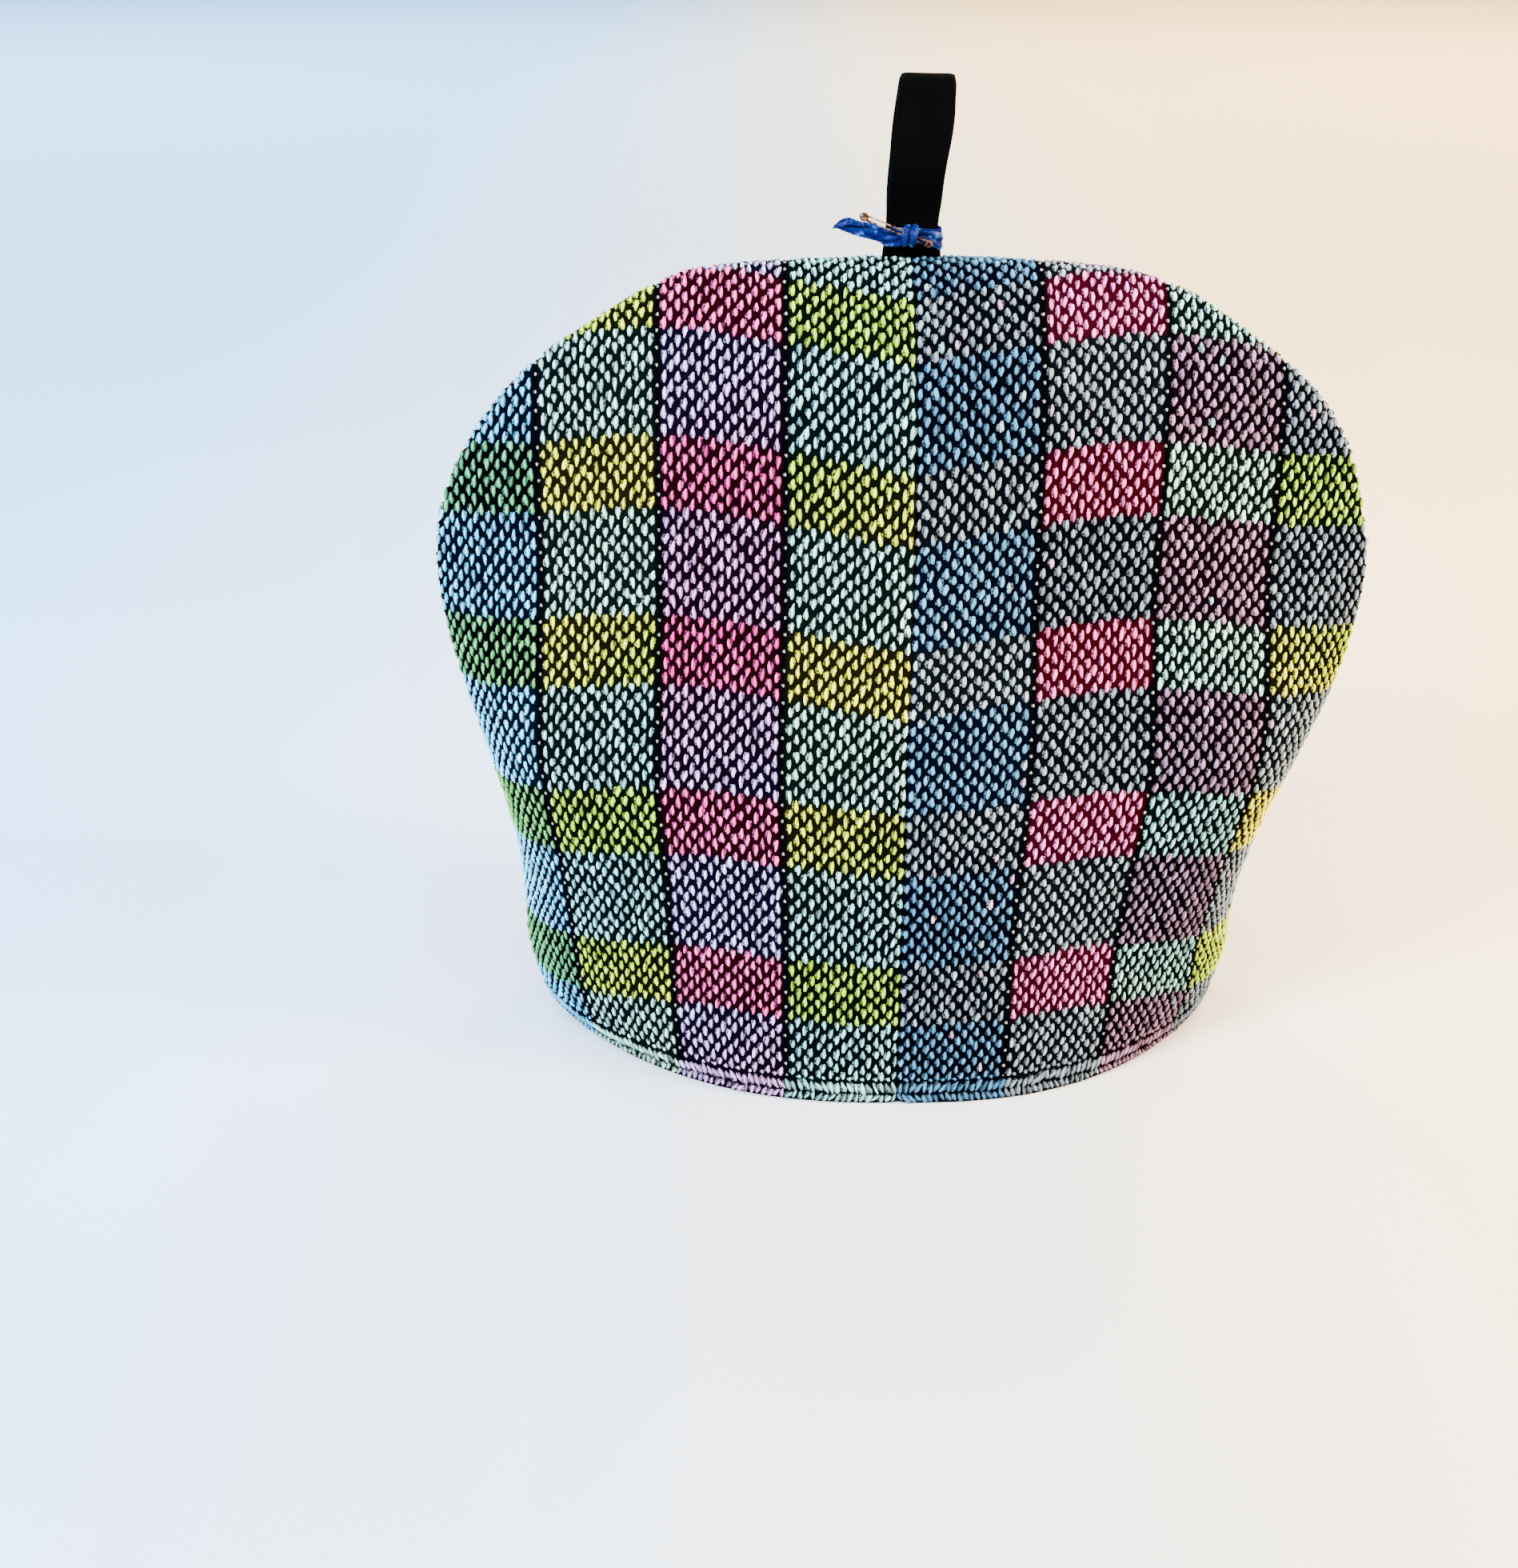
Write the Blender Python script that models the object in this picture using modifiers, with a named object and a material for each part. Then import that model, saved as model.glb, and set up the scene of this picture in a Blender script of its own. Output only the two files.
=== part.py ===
"""A tea cosy sewn from four woven panels, with a hanging loop, a ribbon tie and a safety pin.

Metres, +Z up. The hem rests on z = 0, the front faces -Y and the cosy stands over the origin.
Two panels make the front and two the back. They meet in a centre seam (x = 0) front and back
and in one seam (y = 0) that runs from the hem up the side, over the shoulder and under the loop.
"""

import math

import bmesh
import bpy
import numpy as np
from mathutils import Matrix, Vector

MM = 0.001
GAP = 0.3  # mm between neighbouring pieces

# Outline seen from the front: height, half width on the left, half width on the right (mm).
OUTLINE = (
    (0.0, 108.6, 104.0),
    (10.0, 112.4, 106.6),
    (22.0, 114.8, 108.8),
    (36.0, 115.2, 108.6),
    (52.0, 115.8, 110.8),
    (70.0, 118.6, 115.4),
    (90.0, 123.6, 123.0),
    (110.0, 128.8, 130.0),
    (130.0, 133.2, 134.2),
    (148.0, 134.6, 135.0),
    (164.0, 132.2, 131.6),
    (180.0, 125.4, 126.2),
    (195.0, 115.0, 116.6),
    (208.0, 101.6, 102.6),
    (219.0, 84.8, 86.6),
    (227.0, 70.6, 72.4),
    (232.6, 53.0, 49.5),
    (235.0, 0.0, 0.0),
)
# Profile along the centre seams: height, half depth at the front, half depth at the back (mm).
PROFILE = (
    (0.0, 60.5, 60.0),
    (45.0, 57.5, 58.5),
    (90.0, 53.5, 55.0),
    (130.0, 49.5, 50.0),
    (165.0, 44.5, 44.5),
    (192.0, 38.5, 38.0),
    (208.0, 33.0, 32.6),
    (219.0, 26.0, 26.0),
    (227.0, 17.6, 17.6),
    (232.6, 8.6, 8.6),
    (235.0, 0.0, 0.0),
)
CROWN_HEIGHT = 235.0
SHOULDER_HEIGHT = 184.0  # where a panel's side edge is taken to become its top edge
RIDGE_ROUND = 3.4  # rounding of the cloth over the side and crown seam
# Level sections: height (mm), roundness of the front (1 is flat from seam to seam), and the
# share of the depth that stays until the crease where the cloth turns back to the side seam.
SECTIONS = (
    (0.0, 2.6, 0.09),
    (28.0, 1.95, 0.30),
    (57.0, 1.5, 0.45),
    (96.0, 1.24, 0.45),
    (125.0, 1.18, 0.20),
    (150.0, 1.16, 0.03),
    (170.0, 1.16, 0.0),
    (235.0, 1.16, 0.0),
)
CREASE_SHARP = 12.0  # how sharply it turns back there

CLOTH = 2.7  # thickness of the panel cloth
HEM_THICK = 3.9  # thickness of the turned hem
HEM_HEIGHT = 7.3  # height of the hem's stitching
HEM_ROLL = 0.7  # how far the hem rolls out under its stitching
HEM_UNDER = 0.5  # how far the hem's lower edge turns in
STITCH_GROOVE = 0.75  # how deep the hem's stitching pulls in
SEAM_GROOVE = 0.8  # how deep the centre seams pull in
SEAM_HALF = 1.7  # half width of that hollow

SURFACE_CELL = 7.9  # size of a panel's facets away from seams and hem

TAPE_WIDTH = 15.4
TAPE_THICK = 1.2
TAPE_FOOT = 227.5  # lower ends of the tape, inside the crown seam
TAPE_TOP = 281.0
EYE_HALF = 5.6  # half the gap between the strands at the loop's widest
EYE_BEND = 3.6  # radius of the fold at the loop's top
EYE_OPENS = (245.0, 260.0)  # heights between which the strands part
EYE_SHUTS = (262.0, 278.0)  # and between which they come together again
TAPE_SHIFT = -0.3  # middle of the loop's foot, left of the centre seam
TAPE_LEAN = 2.8  # how far the top of the loop stands to the right of its foot
TAPE_TURN = 3.0  # degrees that the top leans over
TAPE_TAPER = 0.8  # how much narrower the tape is at the top
TAPE_PINCH = 1.6  # how much the ribbon gathers the tape in
PINCH_HEIGHT = 241.9
PINCH_SPREAD = 5.0  # how far the gathers run up and down from there
STRAND_GAP = 0.1  # between the two strands at the foot
STRAND_OUTER = STRAND_GAP / 2 + TAPE_THICK  # outer face of a strand at the foot

RIBBON_WIDTH = 4.0  # as gathered round the tape
RIBBON_THICK = 0.6
RIBBON_MIDDLE = 240.4  # height of the ribbon's middle where it goes round the tape
# The free end's middle line, its width and its slant towards the front (mm, mm, mm, mm, -).
RIBBON_END = (
    (-5.6, -3.2, 240.6, 3.4, 0.1),
    (-9.4, -4.3, 241.2, 3.5, 0.5),
    (-12.4, -4.0, 242.4, 3.7, 0.6),
    (-15.0, -3.4, 243.1, 3.9, 0.4),
    (-17.6, -2.8, 243.5, 3.6, 0.2),
    (-19.8, -2.3, 243.3, 2.3, 0.0),
    (-21.4, -2.0, 242.6, 0.8, -0.1),
)
# Folds of the knot: middle x, y, z and half sizes x, y, z (mm).
KNOT_FOLDS = (
    (-5.2, -3.5, 240.2, 3.1, 1.9, 2.1),
    (-1.5, -3.7, 240.6, 2.6, 1.9, 2.3),
    (3.6, -3.0, 239.7, 4.2, 1.8, 2.9),
)

PIN_WIRE = 0.55
PIN_ARM = 18.2  # length of the pin's straight arms
PIN_SPREAD = 1.0  # half the distance between the arms
PIN_MIDDLE = (-4.6, -6.8, 242.25)
PIN_SLANT = 22.0  # degrees, left end up
PIN_CAP = (1.5, 1.05, 1.4)  # half sizes of the cap along, through and across the pin


# ---------------------------------------------------------------- helpers


def new_collection(name):
    collection = bpy.data.collections.new(name)
    bpy.context.scene.collection.children.link(collection)
    return collection


def make_material(name, colour, roughness, metallic=0.0):
    material = bpy.data.materials.new(name)
    material.use_nodes = True
    shader = material.node_tree.nodes["Principled BSDF"]
    shader.inputs["Base Color"].default_value = (*colour, 1.0)
    shader.inputs["Roughness"].default_value = roughness
    shader.inputs["Metallic"].default_value = metallic
    return material


def add_object(name, mesh, collection, material=None):
    obj = bpy.data.objects.new(name, mesh)
    collection.objects.link(obj)
    if material is not None:
        mesh.materials.append(material)
    return obj


def smooth_curve(points, steps=14):
    """A curve through the points that leaves the last one level, as evenly spaced samples."""
    p = [np.array(q, float) for q in points]
    before = 2 * p[0] - p[1]
    after = np.array([p[-2][0], *(-p[-2][1:])])
    p = [before, *p, after]
    out = []
    for p0, p1, p2, p3 in zip(p, p[1:], p[2:], p[3:]):
        for k in range(steps):
            t = k / steps
            out.append(
                0.5
                * (
                    2 * p1
                    + (p2 - p0) * t
                    + (2 * p0 - 5 * p1 + 4 * p2 - p3) * t**2
                    + (3 * p1 - p0 - 3 * p2 + p3) * t**3
                )
            )
    out.append(p[-2])
    return np.array(out)


def smoothstep(x):
    x = min(max(x, 0.0), 1.0)
    return x * x * (3 - 2 * x)


def cutter_box(name, low, high, collection):
    """A box between two corners in mm, as a cutter that isn't drawn."""
    bm = bmesh.new()
    bmesh.ops.create_cube(bm, size=1.0)
    size = [(h - l) * MM for l, h in zip(low, high)]
    middle = [(h + l) / 2 * MM for l, h in zip(low, high)]
    bmesh.ops.scale(bm, vec=size, verts=bm.verts)
    bmesh.ops.translate(bm, vec=middle, verts=bm.verts)
    mesh = bpy.data.meshes.new(name)
    bm.to_mesh(mesh)
    bm.free()
    obj = add_object(name, mesh, collection)
    obj.hide_render = True
    obj.display_type = "WIRE"
    return obj


def add_boolean(obj, operation, cutter, own_folds=False):
    """own_folds: the object's thickened cloth may touch itself where it turns sharply."""
    modifier = obj.modifiers.new(operation.title(), "BOOLEAN")
    modifier.operation = operation
    modifier.solver = "EXACT"
    modifier.use_self = own_folds
    modifier.object = cutter


# ---------------------------------------------------------------- the panels' surface


class PanelShape:
    """The outer face of one panel, for a side (0 left, 1 right) and a face (0 front, 1 back)."""

    def __init__(self, side, face):
        self.side, self.face = side, face
        self.outline = smooth_curve([(row[0], row[1 + side]) for row in OUTLINE])
        self.profile = smooth_curve([(row[0], row[1 + face]) for row in PROFILE])
        self.sections = smooth_curve(SECTIONS)
        self.phase = 0.9 * side + 2.1 * face

    def half_width(self, z):
        return float(np.interp(z, self.outline[:, 0], self.outline[:, 1]))

    def half_depth(self, z):
        return float(np.interp(z, self.profile[:, 0], self.profile[:, 1]))

    def height_at_width(self, x):
        """The height above the shoulder at which the outline is x from the middle."""
        upper = self.outline[self.outline[:, 0] >= SHOULDER_HEIGHT]
        return float(np.interp(-x, -upper[:, 1], upper[:, 0]))

    def depth(self, x, z):
        """How far the outer face stands from the seam plane y = 0."""
        width = max(self.half_width(z), 1e-6)
        across = min(x / width, 1.0)
        power, crease = (float(np.interp(z, self.sections[:, 0], self.sections[:, k])) for k in (1, 2))
        middle = math.hypot(self.half_depth(z), RIDGE_ROUND) - RIDGE_ROUND
        flat = middle * (1 - (1 - crease) * across**power - crease * across**CREASE_SHARP)
        rounded = math.sqrt(flat * flat + 2 * RIDGE_ROUND * flat)
        return max(rounded + self.unevenness(x, z, flat) - self.grooves(x, z), 0.0)

    def unevenness(self, x, z, flat):
        """Slow waves of the cloth, dying out at the side seam and the hem."""
        fade = smoothstep(flat / 12) * smoothstep(z / 30)
        wave = math.sin(z / 21 + self.phase) * math.cos(x / 33 + self.phase)
        slow = math.sin(z / 47 - 1.1 + self.phase + x / 60)
        return fade * (0.55 * wave + 0.7 * slow)

    def grooves(self, x, z):
        """The centre seam, the hem's stitching and the roll of cloth under it."""
        seam = SEAM_GROOVE * math.exp(-((x / SEAM_HALF) ** 2))
        stitches = STITCH_GROOVE * math.exp(-(((z - HEM_HEIGHT) / 1.1) ** 2))
        low = min(z / HEM_HEIGHT, 1.0)
        roll = HEM_ROLL * math.sin(math.pi * low) if z < HEM_HEIGHT else 0.0
        under = HEM_UNDER * max(0.0, 1 - z / 1.6) ** 2
        return seam + stitches - roll + under


def across_stations(width):
    """Shares of the panel's width: close at the centre seam and the ridge, even between."""
    near_seam = [0.0, 1.3, 3.2]
    near_ridge = [7.5, 3.6, 1.3, 0.35, 0.0]
    middle = width - near_seam[-1] - near_ridge[0]
    count = round(middle / SURFACE_CELL)
    even = [near_seam[-1] + middle * k / count for k in range(1, count)]
    return [s / width for s in (*near_seam, *even, *[width - r for r in near_ridge])]


def height_stations():
    """Shares of the height: close at the hem and the ridge, even between."""
    near_hem = [0.0, 1.6, 3.8, 5.9, HEM_HEIGHT, 8.6, 10.7, 14.5]
    near_ridge = [8.0, 4.2, 1.9, 0.7, 0.2, 0.0]
    middle = CROWN_HEIGHT - near_hem[-1] - near_ridge[0]
    count = round(middle / SURFACE_CELL)
    even = [near_hem[-1] + middle * k / count for k in range(1, count)]
    ridge = [CROWN_HEIGHT - r for r in near_ridge]
    return [s / CROWN_HEIGHT for s in (*near_hem, *even, *ridge)]


def panel_plan(shape, a, b):
    """Where the grid point (a across, b up) lies in the front view, in mm."""
    shoulder = shape.half_width(SHOULDER_HEIGHT)
    side_height = b * CROWN_HEIGHT - (CROWN_HEIGHT - SHOULDER_HEIGHT) * b * b
    x = a * shape.half_width(side_height)
    crown_line = CROWN_HEIGHT - a * (CROWN_HEIGHT - SHOULDER_HEIGHT)
    bulge = shape.height_at_width(a * shoulder) - crown_line
    z = (1 - a) * b * CROWN_HEIGHT + a * side_height + b * b * bulge
    return x, min(z, CROWN_HEIGHT)


def make_gore(name, side, face, parts, cutters, notch, material):
    """One panel: an open sheet laid on its outer face, thickened inwards, trimmed at its seams."""
    shape = PanelShape(side, face)
    across = across_stations(shape.half_width(SHOULDER_HEIGHT))
    up = height_stations()
    columns, rows = len(across) + 1, len(up) + 1  # one row or column more past each edge
    sx, sy = (-1, 1)[side], (-1, 1)[face]

    bm = bmesh.new()
    bmesh.ops.create_grid(bm, x_segments=columns, y_segments=rows, size=0.5)
    over = 2.0  # how far the sheet runs past its seams and hem before it is trimmed
    bm.verts.ensure_lookup_table()
    for vert in bm.verts:
        i = round((vert.co.x + 0.5) * columns)
        j = round((vert.co.y + 0.5) * rows)
        a = across[min(max(i - 1, 0), len(across) - 1)]
        b = up[min(max(j - 1, 0), len(up) - 1)]
        x, z = panel_plan(shape, a, b)
        on_ridge = a == 1.0 or b == 1.0
        y = 0.0 if on_ridge else shape.depth(x, z)
        if i == columns or j == rows:
            y = -over
        if i == 0:
            x = -over
        if j == 0:
            z = -over
        vert.co = Vector((sx * x, sy * y, z)) * MM
    # the sheet's faces turn outwards
    bm.normal_update()
    outwards = sum(f.normal.y * sy for f in bm.faces)
    if outwards < 0:
        bmesh.ops.reverse_faces(bm, faces=bm.faces)
    mesh = bpy.data.meshes.new(name)
    bm.to_mesh(mesh)
    bm.free()
    mesh.shade_smooth()
    obj = add_object(name, mesh, parts, material)

    hem = obj.vertex_groups.new(name="hem")
    for vert in mesh.vertices:
        z = vert.co.z / MM
        hem.add([vert.index], 1 - smoothstep((z - HEM_HEIGHT) / 6), "REPLACE")
    solidify = obj.modifiers.new("Cloth", "SOLIDIFY")
    solidify.thickness = HEM_THICK * MM
    solidify.offset = -1
    solidify.vertex_group = hem.name
    solidify.thickness_vertex_group = CLOTH / HEM_THICK

    half, far = GAP / 2, 300.0
    xs = sorted((sx * half, sx * far))
    ys = sorted((sy * half, sy * far))
    quarter = cutter_box(name + "_quarter", (xs[0], ys[0], 0), (xs[1], ys[1], far), cutters)
    add_boolean(obj, "INTERSECT", quarter, own_folds=True)
    add_boolean(obj, "DIFFERENCE", notch)
    return obj


# ---------------------------------------------------------------- loop, ribbon and pin


def swept_strip(name, path, widths, thick, parts, material):
    """A strip of cloth: its centreline in the y, z plane or round the tape, thickened evenly.

    path holds (centre, width direction) pairs in mm, widths the strip's width at each.
    """
    bm = bmesh.new()
    bmesh.ops.create_grid(bm, x_segments=4, y_segments=len(path) - 1, size=0.5)
    for vert in bm.verts:
        j = round((vert.co.y + 0.5) * (len(path) - 1))
        s = vert.co.x
        centre, along_width = path[j]
        vert.co = (Vector(centre) + Vector(along_width).normalized() * s * widths[j]) * MM
    mesh = bpy.data.meshes.new(name)
    bm.to_mesh(mesh)
    bm.free()
    mesh.shade_smooth()
    obj = add_object(name, mesh, parts, material)
    solidify = obj.modifiers.new("Strip", "SOLIDIFY")
    solidify.thickness = thick * MM
    solidify.offset = 0
    solidify.use_even_offset = True
    return obj


def tape_middle(z):
    """How far the middle of the tape stands to the right at height z."""
    return TAPE_SHIFT + TAPE_LEAN * ((z - TAPE_FOOT) / (TAPE_TOP - TAPE_FOOT)) ** 2


def tape_width(z):
    taper = TAPE_TAPER * (z - TAPE_FOOT) / (TAPE_TOP - TAPE_FOOT)
    return TAPE_WIDTH - taper - TAPE_PINCH * math.exp(-(((z - PINCH_HEIGHT) / PINCH_SPREAD) ** 2))


def make_loop(parts, material):
    """Black tape doubled into a tall eye; both ends stand together in the crown seam."""
    foot = (STRAND_GAP + TAPE_THICK) / 2
    rise = TAPE_TOP - TAPE_THICK / 2 - EYE_BEND - TAPE_FOOT
    front = []
    for t in np.linspace(0, 1, 17):
        z = TAPE_FOOT + rise * t
        parted = smoothstep((z - EYE_OPENS[0]) / (EYE_OPENS[1] - EYE_OPENS[0]))
        shut = smoothstep((z - EYE_SHUTS[0]) / (EYE_SHUTS[1] - EYE_SHUTS[0]))
        y = foot + (EYE_HALF - foot) * parted - (EYE_HALF - EYE_BEND) * shut
        front.append((y, z))
    turns = np.radians(np.arange(20, 161, 20))
    arc = [(EYE_BEND * math.cos(d), TAPE_FOOT + rise + EYE_BEND * math.sin(d)) for d in turns]
    side = [(-y, z) for y, z in front] + [(-y, z) for y, z in arc]
    side += [(y, z) for y, z in reversed(front)]
    path, widths = [], []
    for y, z in side:
        turn = math.radians(TAPE_TURN * (z - TAPE_FOOT) / (TAPE_TOP - TAPE_FOOT))
        path.append(((tape_middle(z), y, z), (math.cos(turn), 0, -0.4 * math.sin(turn))))
        widths.append(tape_width(z))
    return swept_strip("hanging_loop", path, widths, TAPE_THICK, parts, material)


def band_round_tape():
    """The ribbon's middle line round the loop's foot, as (centre, width direction) pairs."""
    widest = tape_width(RIBBON_MIDDLE - RIBBON_WIDTH / 2)  # of the tape inside the ribbon
    clear = GAP + RIBBON_THICK / 2
    corner_x, corner_y = widest / 2, STRAND_OUTER
    path = []
    for quarter in range(4):
        along = -1 if quarter in (1, 2) else 1
        through = 1 if quarter < 2 else -1
        for step in range(4):
            turn = math.radians(90 * quarter + 30 * step)
            x = along * corner_x + clear * math.cos(turn)
            path.append((x, through * corner_y + clear * math.sin(turn)))
        if quarter in (0, 2):
            # the long sides, from this corner to the next
            for share in (-0.6, -0.2, 0.2, 0.6):
                path.append((-along * share * corner_x, through * (corner_y + clear)))
    middle = tape_middle(RIBBON_MIDDLE)
    return [((middle + x, y, RIBBON_MIDDLE), (0, 0, 1)) for x, y in path]


def closed_band(name, path, width, thick, collection):
    """A strip whose ends meet: rings of four corners, bridged all the way round."""
    bm = bmesh.new()
    rings = []
    for k, (centre, along) in enumerate(path):
        centre, along = Vector(centre), Vector(along)
        ahead = Vector(path[(k + 1) % len(path)][0]) - Vector(path[k - 1][0])
        out = Vector((ahead.y, -ahead.x, 0)).normalized()
        ring = []
        for across, through in ((-1, -1), (1, -1), (1, 1), (-1, 1)):
            at = centre + along * across * width / 2 + out * through * thick / 2
            ring.append(bmesh.ops.create_vert(bm, co=at * MM)["vert"][0])
        rings.append([bm.edges.new((ring[i], ring[(i + 1) % 4])) for i in range(4)])
    for one, other in zip(rings, rings[1:] + rings[:1]):
        bmesh.ops.bridge_loops(bm, edges=one + other)
    bmesh.ops.recalc_face_normals(bm, faces=bm.faces)
    mesh = bpy.data.meshes.new(name)
    bm.to_mesh(mesh)
    bm.free()
    return add_object(name, mesh, collection)


def ellipsoid(name, middle, radii, collection, u=16, v=10):
    """A rounded lump that is joined to another shape and isn't drawn itself."""
    bm = bmesh.new()
    bmesh.ops.create_uvsphere(bm, u_segments=u, v_segments=v, radius=1.0)
    bmesh.ops.scale(bm, vec=[r * MM for r in radii], verts=bm.verts)
    bmesh.ops.translate(bm, vec=[m * MM for m in middle], verts=bm.verts)
    mesh = bpy.data.meshes.new(name)
    bm.to_mesh(mesh)
    bm.free()
    mesh.shade_smooth()
    obj = add_object(name, mesh, collection)
    obj.hide_render = True
    obj.display_type = "WIRE"
    return obj


def make_ribbon(parts, cutters, material):
    """The ribbon goes round the loop's foot, is knotted in front and leaves one end free."""
    obj = closed_band("ribbon_tie", band_round_tape(), RIBBON_WIDTH, RIBBON_THICK, parts)
    obj.data.materials.append(material)
    path = [((x, y, z), (0, slant, 1)) for x, y, z, _, slant in RIBBON_END]
    widths = [row[3] for row in RIBBON_END]
    end = swept_strip("ribbon_end", path, widths, RIBBON_THICK, cutters, None)
    end.hide_render = True
    end.display_type = "WIRE"
    # the knot's folds stay clear of the tape they are tied round
    clear = STRAND_OUTER + GAP
    block = cutter_box(
        "tape_room", (-TAPE_WIDTH, -clear, 230), (TAPE_WIDTH, clear, 250), cutters
    )
    for k, row in enumerate(KNOT_FOLDS):
        fold = ellipsoid(f"knot_fold_{k}", row[:3], row[3:], cutters)
        add_boolean(fold, "DIFFERENCE", block)
        add_boolean(obj, "UNION", fold)
    add_boolean(obj, "UNION", end)
    return obj


def make_pin(parts, cutters, material):
    """A safety pin of brass wire: two arms, a coil at the right end and a cap at the left."""
    turns, coil = 1.5, PIN_SPREAD
    step = PIN_WIRE + 0.12  # from one turn of the coil to the next
    points = [(-PIN_ARM / 2, -step * turns / 2, PIN_SPREAD)]
    for k in range(31):
        t = k / 30
        turn = math.pi / 2 - 2 * math.pi * turns * t
        y = step * turns * (t - 0.5)
        points.append((PIN_ARM / 2 + coil * math.cos(turn), y, coil * math.sin(turn)))
    points.append((-PIN_ARM / 2, step * turns / 2, -PIN_SPREAD))

    curve = bpy.data.curves.new("pin_wire", "CURVE")
    curve.dimensions = "3D"
    curve.bevel_depth = PIN_WIRE / 2 * MM
    curve.bevel_resolution = 1
    curve.use_fill_caps = True
    spline = curve.splines.new("POLY")
    spline.points.add(len(points) - 1)
    for point, co in zip(spline.points, points):
        point.co = (*(c * MM for c in co), 1.0)
    wire = bpy.data.objects.new("pin_wire", curve)
    cutters.objects.link(wire)
    place = Matrix.Translation(Vector(PIN_MIDDLE) * MM)
    place = place @ Matrix.Rotation(math.radians(PIN_SLANT), 4, "Y")
    mesh = bpy.data.meshes.new_from_object(wire)
    bpy.data.objects.remove(wire, do_unlink=True)
    mesh.transform(place)
    bm = bmesh.new()
    bm.from_mesh(mesh)
    bmesh.ops.remove_doubles(bm, verts=bm.verts, dist=1e-6)
    bmesh.ops.recalc_face_normals(bm, faces=bm.faces)
    bm.to_mesh(mesh)
    bm.free()
    mesh.name = "safety_pin"
    mesh.shade_smooth()
    obj = add_object("safety_pin", mesh, parts, material)

    cap = ellipsoid("pin_cap", (-PIN_ARM / 2 - 0.3, 0, 0), PIN_CAP, cutters, 14, 8)
    cap.data.transform(place)
    add_boolean(obj, "UNION", cap)
    return obj


def build():
    for obj in list(bpy.data.objects):
        bpy.data.objects.remove(obj, do_unlink=True)
    parts = new_collection("tea_cosy")
    cutters = new_collection("cutters")

    cloths = {
        "gore_front_left": make_material("cloth_front_left", (0.36, 0.42, 0.24), 0.9),
        "gore_front_right": make_material("cloth_front_right", (0.24, 0.30, 0.34), 0.9),
        "gore_back_left": make_material("cloth_back_left", (0.30, 0.34, 0.30), 0.9),
        "gore_back_right": make_material("cloth_back_right", (0.27, 0.36, 0.33), 0.9),
    }
    tape = make_material("black_tape", (0.012, 0.012, 0.013), 0.75)
    satin = make_material("blue_satin", (0.012, 0.07, 0.30), 0.35)
    brass = make_material("pin_brass", (0.72, 0.52, 0.25), 0.3, 1.0)

    half, deep = TAPE_WIDTH / 2 + GAP, STRAND_OUTER + GAP
    middle = tape_middle((TAPE_FOOT + CROWN_HEIGHT) / 2)
    low = (middle - half, -deep, TAPE_FOOT - 8)
    notch = cutter_box("crown_notch", low, (middle + half, deep, 260), cutters)
    for face, face_name in enumerate(("front", "back")):
        for side, side_name in enumerate(("left", "right")):
            name = f"gore_{face_name}_{side_name}"
            make_gore(name, side, face, parts, cutters, notch, cloths[name])
    make_loop(parts, tape)
    make_ribbon(parts, cutters, satin)
    make_pin(parts, cutters, brass)


build()
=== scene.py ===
# %% [markdown]
# # A woven tea cosy, dressed
# A tea cosy is a cloth hood that keeps a teapot warm. This one is sewn from four shaped panels of
# thick woven cloth: the seams run up the middle of the front and back and over the top like
# a ridge, the lower edge is turned up, and a black tape for hanging is caught in the crown, tied
# with a scrap of satin ribbon and pinned. The solids from the CAD step hold the sizes. This lesson
# lays real cloth, yarn, tape, satin and brass over them, a step at a time.

# %% Load the solids
import math

import bmesh
import bpy
import numpy as np
from mathutils import Matrix, Vector


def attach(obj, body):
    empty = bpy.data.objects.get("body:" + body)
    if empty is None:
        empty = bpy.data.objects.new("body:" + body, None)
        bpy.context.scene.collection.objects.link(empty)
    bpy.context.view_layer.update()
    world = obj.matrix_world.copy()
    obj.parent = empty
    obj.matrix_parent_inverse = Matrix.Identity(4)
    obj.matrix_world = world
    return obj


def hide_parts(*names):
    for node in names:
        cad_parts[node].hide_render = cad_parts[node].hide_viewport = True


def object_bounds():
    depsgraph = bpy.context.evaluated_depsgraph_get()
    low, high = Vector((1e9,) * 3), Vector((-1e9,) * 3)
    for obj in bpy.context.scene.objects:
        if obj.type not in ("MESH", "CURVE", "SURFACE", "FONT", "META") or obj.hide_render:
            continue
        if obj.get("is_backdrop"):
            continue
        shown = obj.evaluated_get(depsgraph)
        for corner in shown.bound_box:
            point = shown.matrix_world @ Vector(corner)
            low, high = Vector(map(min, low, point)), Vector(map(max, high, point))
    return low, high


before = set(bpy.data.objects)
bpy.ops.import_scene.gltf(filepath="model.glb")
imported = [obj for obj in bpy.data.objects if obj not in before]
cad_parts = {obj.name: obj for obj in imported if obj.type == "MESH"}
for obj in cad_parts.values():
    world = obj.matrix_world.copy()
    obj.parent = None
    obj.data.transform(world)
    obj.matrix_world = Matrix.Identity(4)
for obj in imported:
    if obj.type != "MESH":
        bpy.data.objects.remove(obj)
cad_box = [list(corner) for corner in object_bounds()]
MM = 0.001
chance = np.random.default_rng(11)
print("the solids measure", [round((b - a) / MM, 1) for a, b in zip(*cad_box)], "mm")

# %% [markdown]
# ## The shape of a panel
# A cloth hood could be sculpted or simulated, but the outline and the bulge of this one are known
# at a few heights. So the cloth's outer face is a small function: half width and half
# depth at each height, and how round the level section is there. Low down the front is broad and
# turns back to the side seam at a crease; higher up it runs almost straight from seam to seam.

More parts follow.
